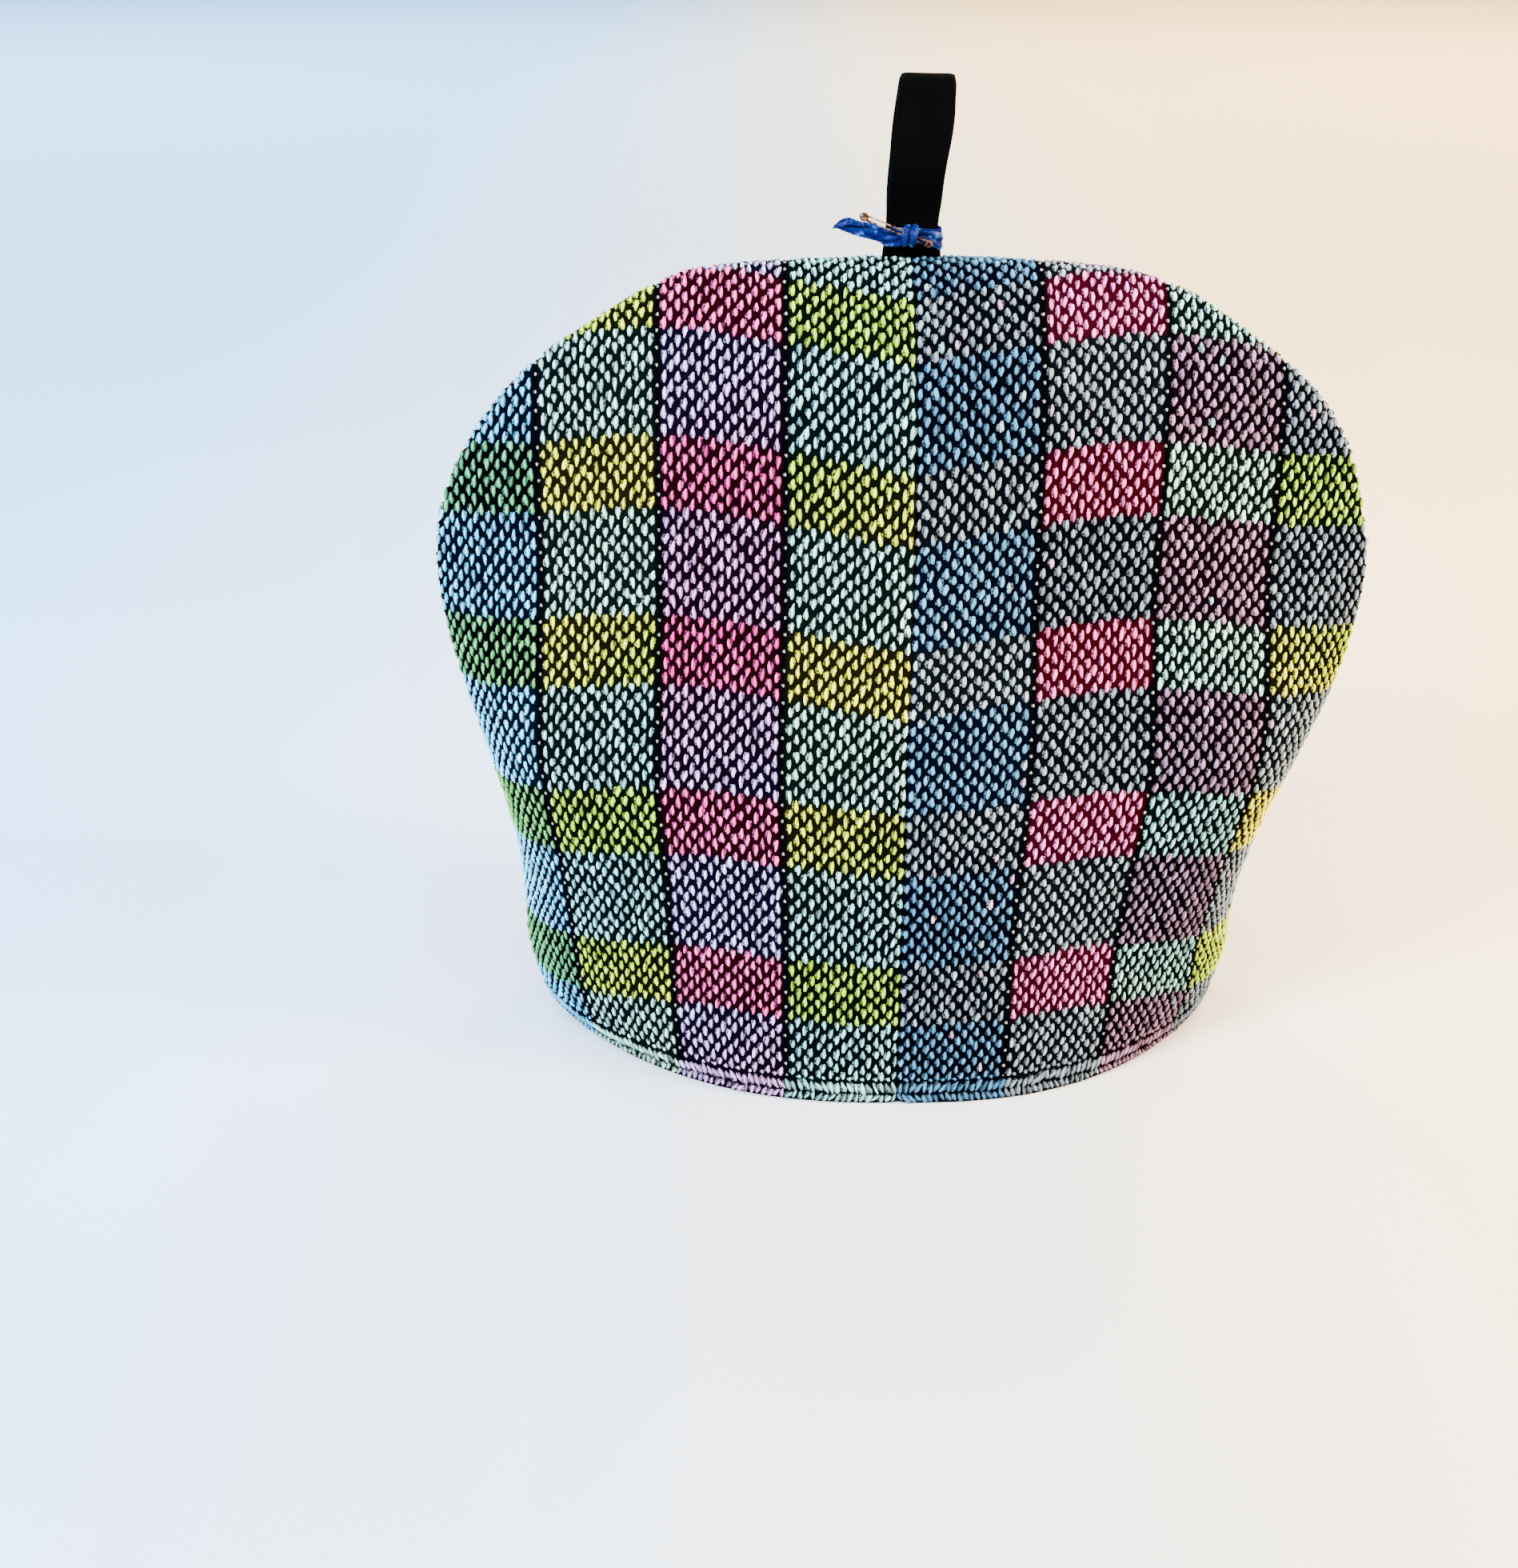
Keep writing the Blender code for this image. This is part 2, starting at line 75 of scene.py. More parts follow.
# %% Heights, half widths and half depths
OUTLINE = (  # height, half width on the left, half width on the right (mm)
    (0.0, 108.6, 104.0),
    (10.0, 112.4, 106.6),
    (22.0, 114.8, 108.8),
    (36.0, 115.2, 108.6),
    (52.0, 115.8, 110.8),
    (70.0, 118.6, 115.4),
    (90.0, 123.6, 123.0),
    (110.0, 128.8, 130.0),
    (130.0, 133.2, 134.2),
    (148.0, 134.6, 135.0),
    (164.0, 132.2, 131.6),
    (180.0, 125.4, 126.2),
    (195.0, 115.0, 116.6),
    (208.0, 101.6, 102.6),
    (219.0, 84.8, 86.6),
    (227.0, 70.6, 72.4),
    (232.6, 53.0, 49.5),
    (235.0, 0.0, 0.0),
)
PROFILE = (  # height, half depth at the front, half depth at the back (mm)
    (0.0, 60.5, 60.0),
    (45.0, 57.5, 58.5),
    (90.0, 53.5, 55.0),
    (130.0, 49.5, 50.0),
    (165.0, 44.5, 44.5),
    (192.0, 38.5, 38.0),
    (208.0, 33.0, 32.6),
    (219.0, 26.0, 26.0),
    (227.0, 17.6, 17.6),
    (232.6, 8.6, 8.6),
    (235.0, 0.0, 0.0),
)
SECTIONS = (  # height, roundness of the front, share of the depth that turns back at a crease
    (0.0, 2.6, 0.09),
    (28.0, 1.95, 0.30),
    (57.0, 1.5, 0.45),
    (96.0, 1.24, 0.45),
    (125.0, 1.18, 0.20),
    (150.0, 1.16, 0.03),
    (170.0, 1.16, 0.0),
    (235.0, 1.16, 0.0),
)
CREASE_SHARP = 12.0
RIDGE_ROUND = 3.4  # rounding of the cloth over the side and crown seam
HEM_HEIGHT = 7.3  # height of the hem's stitching
HEM_ROLL = 0.7  # how far the hem rolls out under it
STITCH_GROOVE = (0.75, 1.1)  # depth and half width
SEAM_GROOVE = (0.8, 1.7)


def smoothstep(x):
    x = np.clip(x, 0.0, 1.0)
    return x * x * (3 - 2 * x)


def furrow(off, deep, wide):
    """The depth of a soft furrow at a distance from its middle line."""
    return deep * np.exp(-((off / wide) ** 2))


def smooth_curve(points, steps=14, free_end=False):
    """A curve through the points, as closely spaced samples. Its last point is level, or free."""
    p = [np.array(q, float) for q in points]
    after = 2 * p[-1] - p[-2] if free_end else np.array([p[-2][0], *(-p[-2][1:])])
    p = [2 * p[0] - p[1], *p, after]
    out = []
    for p0, p1, p2, p3 in zip(p, p[1:], p[2:], p[3:]):
        for t in np.arange(steps) / steps:
            bend = (2 * p0 - 5 * p1 + 4 * p2 - p3) * t**2 + (3 * p1 - p0 - 3 * p2 + p3) * t**3
            out.append(0.5 * (2 * p1 + (p2 - p0) * t + bend))
    return np.array([*out, p[-2]])


# %% [markdown]
# ## Folds in the cloth
# Worn cloth is never as even as its pattern. Soft troughs are placed where the cloth drags: from
# the shoulder towards the seams and above the hem. A trough is a line, a depth and a width, and it
# fades at both ends.

# %% The outer face of a panel
TROUGHS = (  # panel side (0 left, 1 right), from x, z to x, z, depth, half width (mm)
    (0, 96.0, 176.0, 44.0, 222.0, 0.9, 9.0),
    (0, 112.0, 118.0, 98.0, 30.0, 1.1, 7.0),
    (0, 30.0, 12.0, 74.0, 34.0, 0.7, 8.0),
    (0, 20.0, 120.0, 70.0, 92.0, 0.6, 11.0),
    (1, 88.0, 186.0, 40.0, 218.0, 0.8, 9.0),
    (1, 108.0, 110.0, 94.0, 26.0, 1.2, 7.0),
    (1, 26.0, 70.0, 66.0, 40.0, 0.7, 10.0),
    (1, 34.0, 150.0, 84.0, 128.0, 0.6, 12.0),
)
TROUGH_FADE = 14  # mm over which a trough begins and ends
SWELLS = (0.55, 0.7)  # mm, the cloth's short swells and its long ones


class Panel:
    """The outer face of one panel. side: 0 left, 1 right. face: 0 front, 1 back."""

    def __init__(self, side, face):
        self.side, self.face = side, face
        self.name = ("front", "back")[face] + "_" + ("left", "right")[side]
        self.signs = np.array([(-1, 1)[side], (-1, 1)[face], 1.0])
        self.outline = smooth_curve([(row[0], row[1 + side]) for row in OUTLINE])
        self.profile = smooth_curve([(row[0], row[1 + face]) for row in PROFILE])
        self.sections = smooth_curve(SECTIONS)
        self.phase = 0.9 * side + 2.1 * face
        self.widest = self.outline[np.argmax(self.outline[:, 1]), 0]

    def half_width(self, z):
        return np.interp(z, self.outline[:, 0], self.outline[:, 1])

    def ridge_height(self, x):
        """The height at which the outline, above its widest, is x from the middle."""
        upper = self.outline[self.outline[:, 0] >= self.widest]
        return np.interp(-x, -upper[:, 1], upper[:, 0])

    def depth(self, x, z, bare=False):
        """How far the cloth stands from the seam plane; bare leaves out grooves and troughs."""
        across = np.minimum(x / np.maximum(self.half_width(z), 1e-6), 1.0)
        power, crease = (np.interp(z, self.sections[:, 0], self.sections[:, k]) for k in (1, 2))
        half_depth = np.interp(z, self.profile[:, 0], self.profile[:, 1])
        middle = np.hypot(half_depth, RIDGE_ROUND) - RIDGE_ROUND
        flat = middle * (1 - (1 - crease) * across**power - crease * across**CREASE_SHARP)
        rounded = np.sqrt(np.maximum(flat * flat + 2 * RIDGE_ROUND * flat, 0))
        if bare:
            return rounded
        return np.maximum(rounded + self.unevenness(x, z, flat) - self.grooves(x, z), 0)

    def unevenness(self, x, z, flat):
        fade = smoothstep(flat / 12) * smoothstep(z / 30)
        wave = np.sin(z / 21 + self.phase) * np.cos(x / 33 + self.phase)
        slow = np.sin(z / 47 - 1.1 + self.phase + x / 60)
        return fade * (SWELLS[0] * wave + SWELLS[1] * slow - self.troughs(x, z))

    def troughs(self, x, z):
        """The listed folds on this side."""
        total = 0.0
        for side, x0, z0, x1, z1, deep, wide in TROUGHS:
            if side != self.side:
                continue
            length = math.hypot(x1 - x0, z1 - z0)
            along = ((x - x0) * (x1 - x0) + (z - z0) * (z1 - z0)) / length
            off = ((x - x0) * (z1 - z0) - (z - z0) * (x1 - x0)) / length
            ends = smoothstep(along / TROUGH_FADE + 0.5)
            ends = ends * smoothstep((length - along) / TROUGH_FADE + 0.5)
            total = total + furrow(off, deep * ends, wide)
        return total

    def grooves(self, x, z):
        """The centre seam, the hem's stitching and the roll of cloth under it."""
        roll = HEM_ROLL * np.sin(math.pi * np.clip(z / HEM_HEIGHT, 0, 1))
        return furrow(x, *SEAM_GROOVE) + furrow(z - HEM_HEIGHT, *STITCH_GROOVE) - roll


panels = [Panel(side, face) for face in (0, 1) for side in (0, 1)]
print("panels:", [panel.name for panel in panels])

# %% [markdown]
# ## Threads follow the cloth
# The check has to run with the weave, and the weave bends with the cloth. So each warp column is
# laid out as a line: the columns share the level sections evenly up to the widest height, and
# from there they run straight up until the ridge cuts them off, as in the cut panel. Along a
# column, distance is measured on the cloth. The rows hang lower at the side seams, because the
# lower edge of the cut panel is curved. They also fall towards the centre seam, more so higher
# up, where the seam draws the cloth in.

# %% Lay out the columns
COLUMNS = 72  # warp columns in a panel
REPEAT = 4.75  # mm from one float of yarn to the next in a column
ROW_SAG = 11.0  # mm that the rows hang lower at the side seam
ROW_SLOPES = ((0.0, 0.0), (60.0, 0.04), (120.0, 0.10), (200.0, 0.15))  # height, fall to the seam
ROW_REACH = (75.0, 48.0)  # mm from the centre seam over which they fall, on the left and right
LEVELS, ACROSS, UP = 90, 300, 500  # samples: level sections, points on each, points on a column


def closing(count):
    """Shares from 0 to 1, closer and closer together towards 1, where the cloth curves most."""
    return 1 - (1 - np.linspace(0, 1, count)) ** 2


def run_along(line):
    """How far along a line of points each of them is."""
    steps = np.linalg.norm(np.diff(line, axis=0), axis=1)
    return np.concatenate([[0], np.cumsum(steps)])


class Columns:
    """Lines up the cloth of a panel, one for each share of its width."""

    def __init__(self, panel, shares):
        self.panel, self.shares = panel, np.asarray(shares, float)
        heights = np.linspace(0, panel.widest, LEVELS)
        across = []
        for z in heights:
            x = closing(ACROSS) * panel.half_width(z)
            y = panel.depth(x, np.full_like(x, z), bare=True)
            arc = run_along(np.stack([x, y], 1))
            across.append(np.interp(self.shares * arc[-1], arc, x))
        across = np.array(across)
        self.lines, self.runs = [], []
        for k in range(len(self.shares)):
            top = panel.ridge_height(across[-1, k])
            z = top * closing(UP)
            x = np.minimum(np.interp(z, heights, across[:, k]), panel.half_width(z))
            y = panel.depth(x, z)
            y[-1] = 0
            line = np.stack([x, y, z], 1)
            self.lines.append(line)
            self.runs.append(run_along(line))
        self.lengths = np.array([run[-1] for run in self.runs])
        self.weaves = [self.weave_on(k) for k in range(len(self.shares))]

    def weave_on(self, k):
        """How far up the weave each point of column k is, in mm of the flat cloth."""
        x, z = self.lines[k][:, 0], self.lines[k][:, 2]
        slope = np.interp(z, *zip(*ROW_SLOPES))
        reach = ROW_REACH[self.panel.side]
        sag = ROW_SAG * smoothstep((self.shares[k] - 0.35) / 0.65)
        return self.runs[k] + sag - slope * reach * np.tanh(x / reach)

    def at(self, k, run):
        """Points on column k, at distances up from the hem."""
        line = self.lines[k]
        return np.stack([np.interp(run, self.runs[k], line[:, axis]) for axis in range(3)], -1)

    def weave_at(self, k, run):
        return np.interp(run, self.runs[k], self.weaves[k])

    def runs_of_rows(self, k, low, high):
        """The rows whose floats sit on column k between two distances, and where they sit."""
        rows = np.arange(-6, 60) + (k % 2) / 2
        first, last = self.weave_at(k, np.array([low, high])) / REPEAT
        rows = rows[(rows > first) & (rows < last)]
        return rows, np.interp(rows * REPEAT, self.weaves[k], self.runs[k])


# %% [markdown]
# ## A plain check in the cloth's colours
# The cloth has a plain regular check: blocks seventeen columns wide with one dark column
# between them, and bands six and four rows tall by turns. Light yarn floats over a dark
# ground; the colours drift a little along each band, as in space-dyed wool.

# %% Colours and blocks
# two ends of each colour's drift, as seen (red, green, blue out of 255), and how much of it
# the ground under the floats takes on
YARNS = {
    "lime": ((236, 228, 30), (158, 206, 36), 0.005),
    "leaf": ((96, 170, 84), (70, 150, 104), 0.005),
    "aqua": ((182, 222, 202), (136, 202, 204), 0.005),
    "sky": ((116, 204, 240), (84, 180, 222), 0.005),
    "slate": ((142, 156, 166), (112, 126, 142), 0.04),
    "steel": ((84, 140, 176), (60, 112, 150), 0.04),
    "mauve": ((158, 112, 142), (124, 96, 128), 0.04),
    "lilac": ((190, 176, 236), (218, 134, 200), 0.005),
    "pink": ((240, 84, 164), (222, 48, 140), 0.01),
    "rose": ((246, 112, 188), (240, 92, 164), 0.02),
}
MUTED = ("slate", "steel", "mauve")  # these floats are rounder and sit closer
BLOCK = 18  # columns in a block, of which the last is a dark line
BANDS = (6, 4)  # rows in a tall band and in a short one
BAND_EDGE = 0.25  # rows below a band's first float at which the band begins
CHECK = {  # from the centre seam out: the colours of a tall and a short band in each block
    "front_left": (("aqua", "lime"), ("lilac", "pink"), ("aqua", "lime"), ("sky", "leaf")),
    "front_right": (("steel", "slate"), ("slate", "rose"), ("mauve", "aqua"), ("slate", "lime")),
    "back_left": (("sky", "leaf"), ("slate", "lilac"), ("aqua", "lime"), ("mauve", "pink")),
    "back_right": (("steel", "aqua"), ("mauve", "slate"), ("slate", "lime"), ("aqua", "rose")),
}


def linear(colour):
    """A colour as seen, out of 255, as the amounts of light that shaders use."""
    c = np.asarray(colour, float) / 255
    return np.where(c <= 0.04045, c / 12.92, ((c + 0.055) / 1.055) ** 2.4)


DRIFT = {name: np.array([linear(a), linear(b)]) for name, (a, b, _) in YARNS.items()}
# the ground's black yarn, painted darker still as painted shade between the floats
BLACK_YARN_IN_SHADE = np.array([0.0004, 0.0004, 0.0007])
DOT_YARN = linear((176, 176, 168))
FLECKS = linear([(140, 172, 184), (168, 140, 166)])  # strays in the muted yarn


def check_at(panel, column, row):
    """The yarn's colour, whether it is a dark line, and the yarn's name, at a column and a row."""
    block = min(int(column) // BLOCK, 3)
    short = (row + BAND_EDGE) % sum(BANDS) >= BANDS[0]
    in_line = int(column) % BLOCK == BLOCK - 1
    name = CHECK[panel.name][block][int(short)]
    drift = 0.5 + 0.5 * math.sin(row * 0.16 + column * 0.045 + 1.7 * block + 2.2 * panel.face)
    colour = DRIFT[name][0] * (1 - drift) + DRIFT[name][1] * drift
    return colour, in_line, name


def ground_at(panel, column, row):
    """The dark ground under the floats takes a little of their colour."""
    colour, in_line, name = check_at(panel, column, row)
    return BLACK_YARN_IN_SHADE + colour**3 * (0 if in_line else YARNS[name][2])


print("check: a block every", BLOCK, "columns,", BANDS, "rows,", len(YARNS), "colours of yarn")

# %% [markdown]
# ## Shader sums written as sums
# A material is a graph of nodes, and its arithmetic is easier to read as arithmetic. `Value`
# wraps a socket, so that `0.5 + 0.3 * rib` adds the Math nodes. Every other node comes from
# `node`: its kind, its settings, then the values or links of its sockets.

# %% A small class for materials


class Value:
    """A socket's number, which can stand in a sum."""

    def __init__(self, finish, socket):
        self.finish, self.socket = finish, socket

    def math(self, operation, a, b):
        made = self.finish.node("ShaderNodeMath", {"operation": operation}, {0: a, 1: b})
        return Value(self.finish, made.outputs[0])

    def __add__(self, other):
        return self.math("ADD", self, other)

    def __radd__(self, other):
        return self.math("ADD", other, self)

    def __mul__(self, other):
        return self.math("MULTIPLY", self, other)

    def __rmul__(self, other):
        return self.math("MULTIPLY", other, self)

    def wave(self, per_mm):
        """A sine wave of a number in mm."""
        return self.math("SINE", self * per_mm, 0.0)


class Finish:
    """A material and the nodes that make it."""

    def __init__(self, name, constants):
        self.material = bpy.data.materials.new(name)
        self.material.use_nodes = True
        self.tree = self.material.node_tree
        self.shader = self.tree.nodes["Principled BSDF"]
        for socket, value in constants.items():
            self.shader.inputs[socket].default_value = value

    def node(self, kind, settings=None, inputs=None):
        made = self.tree.nodes.new(kind)
        for key, value in (settings or {}).items():
            setattr(made, key, value)
        for key, value in (inputs or {}).items():
            self.feed(made.inputs[key], value)
        return made

    def feed(self, socket, value):
        if isinstance(value, Value):
            value = value.socket
        if isinstance(value, bpy.types.NodeSocket):
            self.tree.links.new(value, socket)
        else:
            socket.default_value = value

    def value(self, made, output=0):
        return Value(self, made.outputs[output])

    def noise(self, scale, detail, where=None):
        """Even noise from 0 to 1 with a mean near 0.5; scale is in lumps per metre."""
        where = where or self.node("ShaderNodeTexCoord").outputs["Object"]
        inputs = {"Vector": where, "Scale": scale, "Detail": detail}
        return self.value(self.node("ShaderNodeTexNoise", None, inputs))

    def ramp(self, value, low, high):
        """A soft step from 0 at low to 1 at high."""
        settings = {"interpolation_type": "SMOOTHSTEP"}
        inputs = {"Value": value, "From Min": low, "From Max": high}
        return self.value(self.node("ShaderNodeMapRange", settings, inputs))

    def mix(self, factor, a, b):
        """A colour between two others, which are (red, green, blue)."""
        inputs = {0: factor, 6: (*a, 1.0), 7: (*b, 1.0)}
        return self.node("ShaderNodeMix", {"data_type": "RGBA"}, inputs).outputs[2]

    def shade(self, colour, factor):
        """A colour made darker or lighter by a number."""
        settings = {"operation": "SCALE"}
        made = self.node("ShaderNodeVectorMath", settings, {0: colour, "Scale": factor})
        return made.outputs[0]

    def surface(self, colour, roughness, relief=None):
        """Sets the colour, the roughness and a relief too fine for the mesh: its height, its
        strength and the metres that it stands for."""
        self.feed(self.shader.inputs["Base Color"], colour)
        self.feed(self.shader.inputs["Roughness"], roughness)
        if relief:
            inputs = dict(zip(("Height", "Strength", "Distance"), relief))
            made = self.node("ShaderNodeBump", None, inputs)
            self.feed(self.shader.inputs["Normal"], made.outputs[0])
        return self.material


# %% [markdown]
# ## Wool for the floats, wool for the ground
# Both read a colour that each mesh carries for itself, so one finish serves all four panels. The
# floats are soft, matt and a little fuzzy: fine noise darkens them along the fibre and frays their
# rims, where loose hairs cross the dark ground. The colour's alpha says how high on the float a
# point sits, and the lower a point sits, the darker it is painted: painted shade on the float's
# sides and on its deeper second strand. The ground lies in the shade between, its black yarn
# painted darker still for that shade, and shows only its crossing threads.

# %% Make the two wool finishes


def wool(name, attribute, fibre, dull, shine, frayed_and_shaded):
    finish = Finish(name, {"Specular IOR Level": shine})
    yarn = finish.node("ShaderNodeAttribute", {"attribute_name": attribute})
    fuzz = finish.noise(fibre, 3.0)
    tone = 0.35 + 0.95 * fuzz + 0.35 * finish.noise(fibre / 9, 2.0)
    if frayed_and_shaded:
        height = finish.value(yarn, "Alpha")
        shown = finish.ramp(height + 1.9 * finish.noise(fibre / 2, 2.0), 0.95, 1.35)
        # frayed rims, and painted shade: the lower a point sits on its float, the darker it is
        # painted
        tone = tone * (0.05 + 0.95 * shown) * (0.2 + height)
    colour = finish.shade(yarn.outputs["Color"], tone)
    return finish.surface(colour, dull + 0.12 * fuzz, (fuzz, 0.6, 0.00022))


float_wool = wool("wool_floats", "yarn", 2600.0, 0.78, 0.1, frayed_and_shaded=True)
ground_wool = wool("wool_ground", "ground", 1500.0, 0.86, 0.0, frayed_and_shaded=False)
print("finishes:", float_wool.name, ground_wool.name)

# %% [markdown]
# ## Cloth with two faces
# A sheet is a grid whose points are moved onto the cloth, then extruded as a whole, so that the
# copy becomes the inner face and the walls between them become the cut edge. Each point
# remembers its number in the grid, which gives it its place, its colour and its spot in the
# weave.

# %% Helpers for sheets


def normals_of(points):
    """Unit normals of a grid of points, from the steps along its columns and rows."""
    across, up = np.gradient(points, axis=0), np.gradient(points, axis=1)
    normals = np.cross(across, up)
    size = np.linalg.norm(normals, axis=2, keepdims=True)
    return normals / np.maximum(size, 1e-9)


def area_of(points):
    """The area of a grid of points, in mm2 where the points are in mm."""
    across, up = np.diff(points, axis=0)[:, :-1], np.diff(points, axis=1)[:-1]
    return float(np.linalg.norm(np.cross(across, up), axis=2).sum())


def finished(name, mesh, material):
    """Puts a mesh in the scene as a smooth piece with its material."""
    mesh.shade_smooth()
    mesh.materials.append(material)
    piece = bpy.data.objects.new(name, mesh)
    bpy.context.scene.collection.objects.link(piece)
    return piece


def sheet_mesh(name, outer, inner, weave, material):
    """A sheet between two grids of points (mm). weave holds each point's UV place."""
    columns, rows = outer.shape[:2]
    bm = bmesh.new()
    bmesh.ops.create_grid(bm, x_segments=columns - 1, y_segments=rows - 1, size=0.5)
    number = bm.verts.layers.int.new("number")
    for vert in bm.verts:
        i = round((vert.co.x + 0.5) * (columns - 1))
        j = round((vert.co.y + 0.5) * (rows - 1))
        vert[number] = i * rows + j
    wall = bmesh.ops.extrude_face_region(bm, geom=bm.faces[:], use_keep_orig=True)
    copied = {v for v in wall["geom"] if isinstance(v, bmesh.types.BMVert)}
    places = (outer.reshape(-1, 3), inner.reshape(-1, 3))
    for vert in bm.verts:
        vert.co = Vector(places[vert in copied][vert[number]]) * MM
    spots = weave.reshape(-1, 2)
    uv = bm.loops.layers.uv.new("weave")
    for face in bm.faces:
        for loop in face.loops:
            loop[uv].uv = spots[loop.vert[number]]
    bmesh.ops.recalc_face_normals(bm, faces=bm.faces)
    mesh = bpy.data.meshes.new(name)
    bm.to_mesh(mesh)
    bm.free()
    return finished(name, mesh, material)


def paint(mesh, attribute, colours, alpha=1.0):
    """Gives each point of a mesh its colour."""
    layer = mesh.attributes.new(attribute, "FLOAT_COLOR", "POINT")
    rgba = np.empty((len(mesh.vertices), 4), np.float32)
    rgba[:, :3], rgba[:, 3] = colours, alpha
    layer.data.foreach_set("color", rgba.ravel())


# %% [markdown]
# ## The ground cloth of each panel
# The cloth is about 2.4 mm thick under its floats. The grid is close at the seams, the ridge and
# the hem, where the cloth turns sharply, and even between. Where the panels meet, each is
# held back from the seam plane by a hair, and at the crown they part for the tape.

# %% Lay the ground cloth
GROUND_SINK = 0.35  # mm that the ground lies under the panel's outer face
GROUND_THICK = 2.4
HEM_THICK = 3.9
HEM_SOFT = 6  # mm above the stitching over which the hem thins to the cloth
SEAM_HALF_GAP = 0.03
SEAM_DRAW = (0.4, 1.0)  # how far the stitching draws the cloth in, and how far that reaches
TAPE_HALF_ROOM = 8.0
TAPE_PARTING = 1.3  # mm that the crown stands open for the tape on each side of the seam
PARTING_FROM = 222  # height at which it begins to open
# where the grid's lines lie, away from each edge of a panel; columns, then mm
NEAR_CENTRE = (0.0, 0.35, 0.9, 1.7)
NEAR_SIDE = (4.5, 2.6, 1.4, 0.7, 0.25, 0.0)
NEAR_HEM = (0.0, 1.1, 2.6, 4.2, 5.9, 7.3, 8.4, 9.8, 11.8)
NEAR_RIDGE = (6.0, 3.8, 2.2, 1.1, 0.4, 0.0)
GRID_CELL = 2.05  # mm between the lines up the middle of the centre column


def part_at_seams(points):
    """Keeps a panel's points on its own side of the seams, and clear of the tape's foot."""
    x, y, z = points[..., 0], points[..., 1], points[..., 2]
    at_tape = smoothstep((TAPE_HALF_ROOM + 2.5 - np.abs(x)) / 2.0)
    at_tape = at_tape * smoothstep((z - PARTING_FROM) / 5)
    points[..., 0] = np.maximum(x, SEAM_HALF_GAP)
    points[..., 1] = np.maximum(y, SEAM_HALF_GAP + TAPE_PARTING * at_tape)
    points[..., 2] = np.maximum(z, 0.0)
    return points


def stations(length, near_start, near_end, cell):
    """Distances from 0 to length: the given ones near each end and even ones between."""
    first, last = near_start[-1], length - near_end[0]
    count = max(round((last - first) / cell), 2)
    even = [first + (last - first) * k / count for k in range(1, count)]
    return np.array([*near_start, *even, *[length - s for s in near_end]])


def make_ground(panel):
    width = float(COLUMNS)
    shares = stations(width, NEAR_CENTRE, NEAR_SIDE, 1.0) / width
    columns = Columns(panel, shares)
    between = columns.lengths - NEAR_HEM[-1] - NEAR_RIDGE[0]
    count = round(between[0] / GRID_CELL)
    points, weave = [], []
    for k, share in enumerate(shares):
        run = stations(columns.lengths[k], NEAR_HEM, NEAR_RIDGE, between[k] / count)
        points.append(columns.at(k, run))
        weave.append(np.stack([np.full_like(run, share * width), columns.weave_at(k, run)], -1))
    points, weave = np.array(points), np.array(weave)
    normals = -normals_of(points)
    outer = points - normals * GROUND_SINK
    outer -= normals * furrow(points[..., 1:2], *SEAM_DRAW)
    above_hem = smoothstep((points[..., 2:3] - HEM_HEIGHT) / HEM_SOFT)
    thick = HEM_THICK + (GROUND_THICK - HEM_THICK) * above_hem
    inner = outer - normals * thick
    outer, inner = part_at_seams(outer), part_at_seams(inner)
    piece = sheet_mesh(
        "cloth_" + panel.name, outer * panel.signs, inner * panel.signs, weave, ground_wool
    )
    numbers = np.empty(len(piece.data.vertices), np.int32)
    piece.data.attributes["number"].data.foreach_get("value", numbers)
    places = weave.reshape(-1, 2)
    colours = np.array([ground_at(panel, c, r / REPEAT) for c, r in places])
    paint(piece.data, "ground", colours[numbers])
    area = area_of(points) * MM * MM
    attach(piece, "root")
    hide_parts("gore_" + panel.name)
    print(piece.name, len(piece.data.polygons), "faces,", round(area, 4), "m2")
    return piece, area


grounds = {panel.name: make_ground(panel) for panel in panels}

# %% [markdown]
# ## Floats of yarn
# Every light spot in the cloth is a float: the yarn comes up, runs about three and a half
# millimetres over the ground and goes down again. A picture of that would look painted from
# close by, so each float is a small plump grain with the second strand of its doubled yarn
# beside it. A few grains are modelled and copied along the columns, brick fashion.

# %% Shape the grains
GRAINS = (  # twist, belly; the second strand's place across and along, half width, half length
    (0.15, 0.15, 1.00, -0.10, 0.95, 0.74),
    (0.00, -0.3, 1.15, 0.10, 0.90, 0.80),
    (0.25, -0.1, 0.95, -0.20, 1.00, 0.66),
    (0.10, 0.3, 1.10, 0.25, 0.85, 0.72),
    (-0.20, 0.1, 1.20, 0.00, 0.95, 0.78),
    (0.15, -0.3, -1.00, 0.25, 0.80, 0.66),
    (0.30, 0.0, 1.05, -0.25, 1.05, 0.60),
    (-0.15, 0.3, 1.00, 0.35, 0.85, 0.70),
)
STRAND_PAINTED_SHADE = 0.25  # the second strand lies deeper, and is painted darker than the first as painted shade
STRAND_HEIGHT = 0.72


def add_half_ball(bm, around, rings, height, shade):
    """Half a ball 2 long and 2 wide along Y, open below, where the ground cloth hides it."""
    ball = bmesh.ops.create_uvsphere(bm, u_segments=around, v_segments=rings, radius=1.0)["verts"]
    bmesh.ops.rotate(bm, matrix=Matrix.Rotation(math.pi / 2, 3, "X"), verts=ball)
    below = [vert for vert in ball if vert.co.z < -1e-4]
    bmesh.ops.delete(bm, geom=below, context="VERTS")
    ball = [vert for vert in ball if vert.is_valid]
    # each point keeps its height, which the wool finish turns into painted shade; a shade below 1
    # paints the whole strand darker
    for vert in ball:
        vert[height] = vert.co.z * shade
    return ball


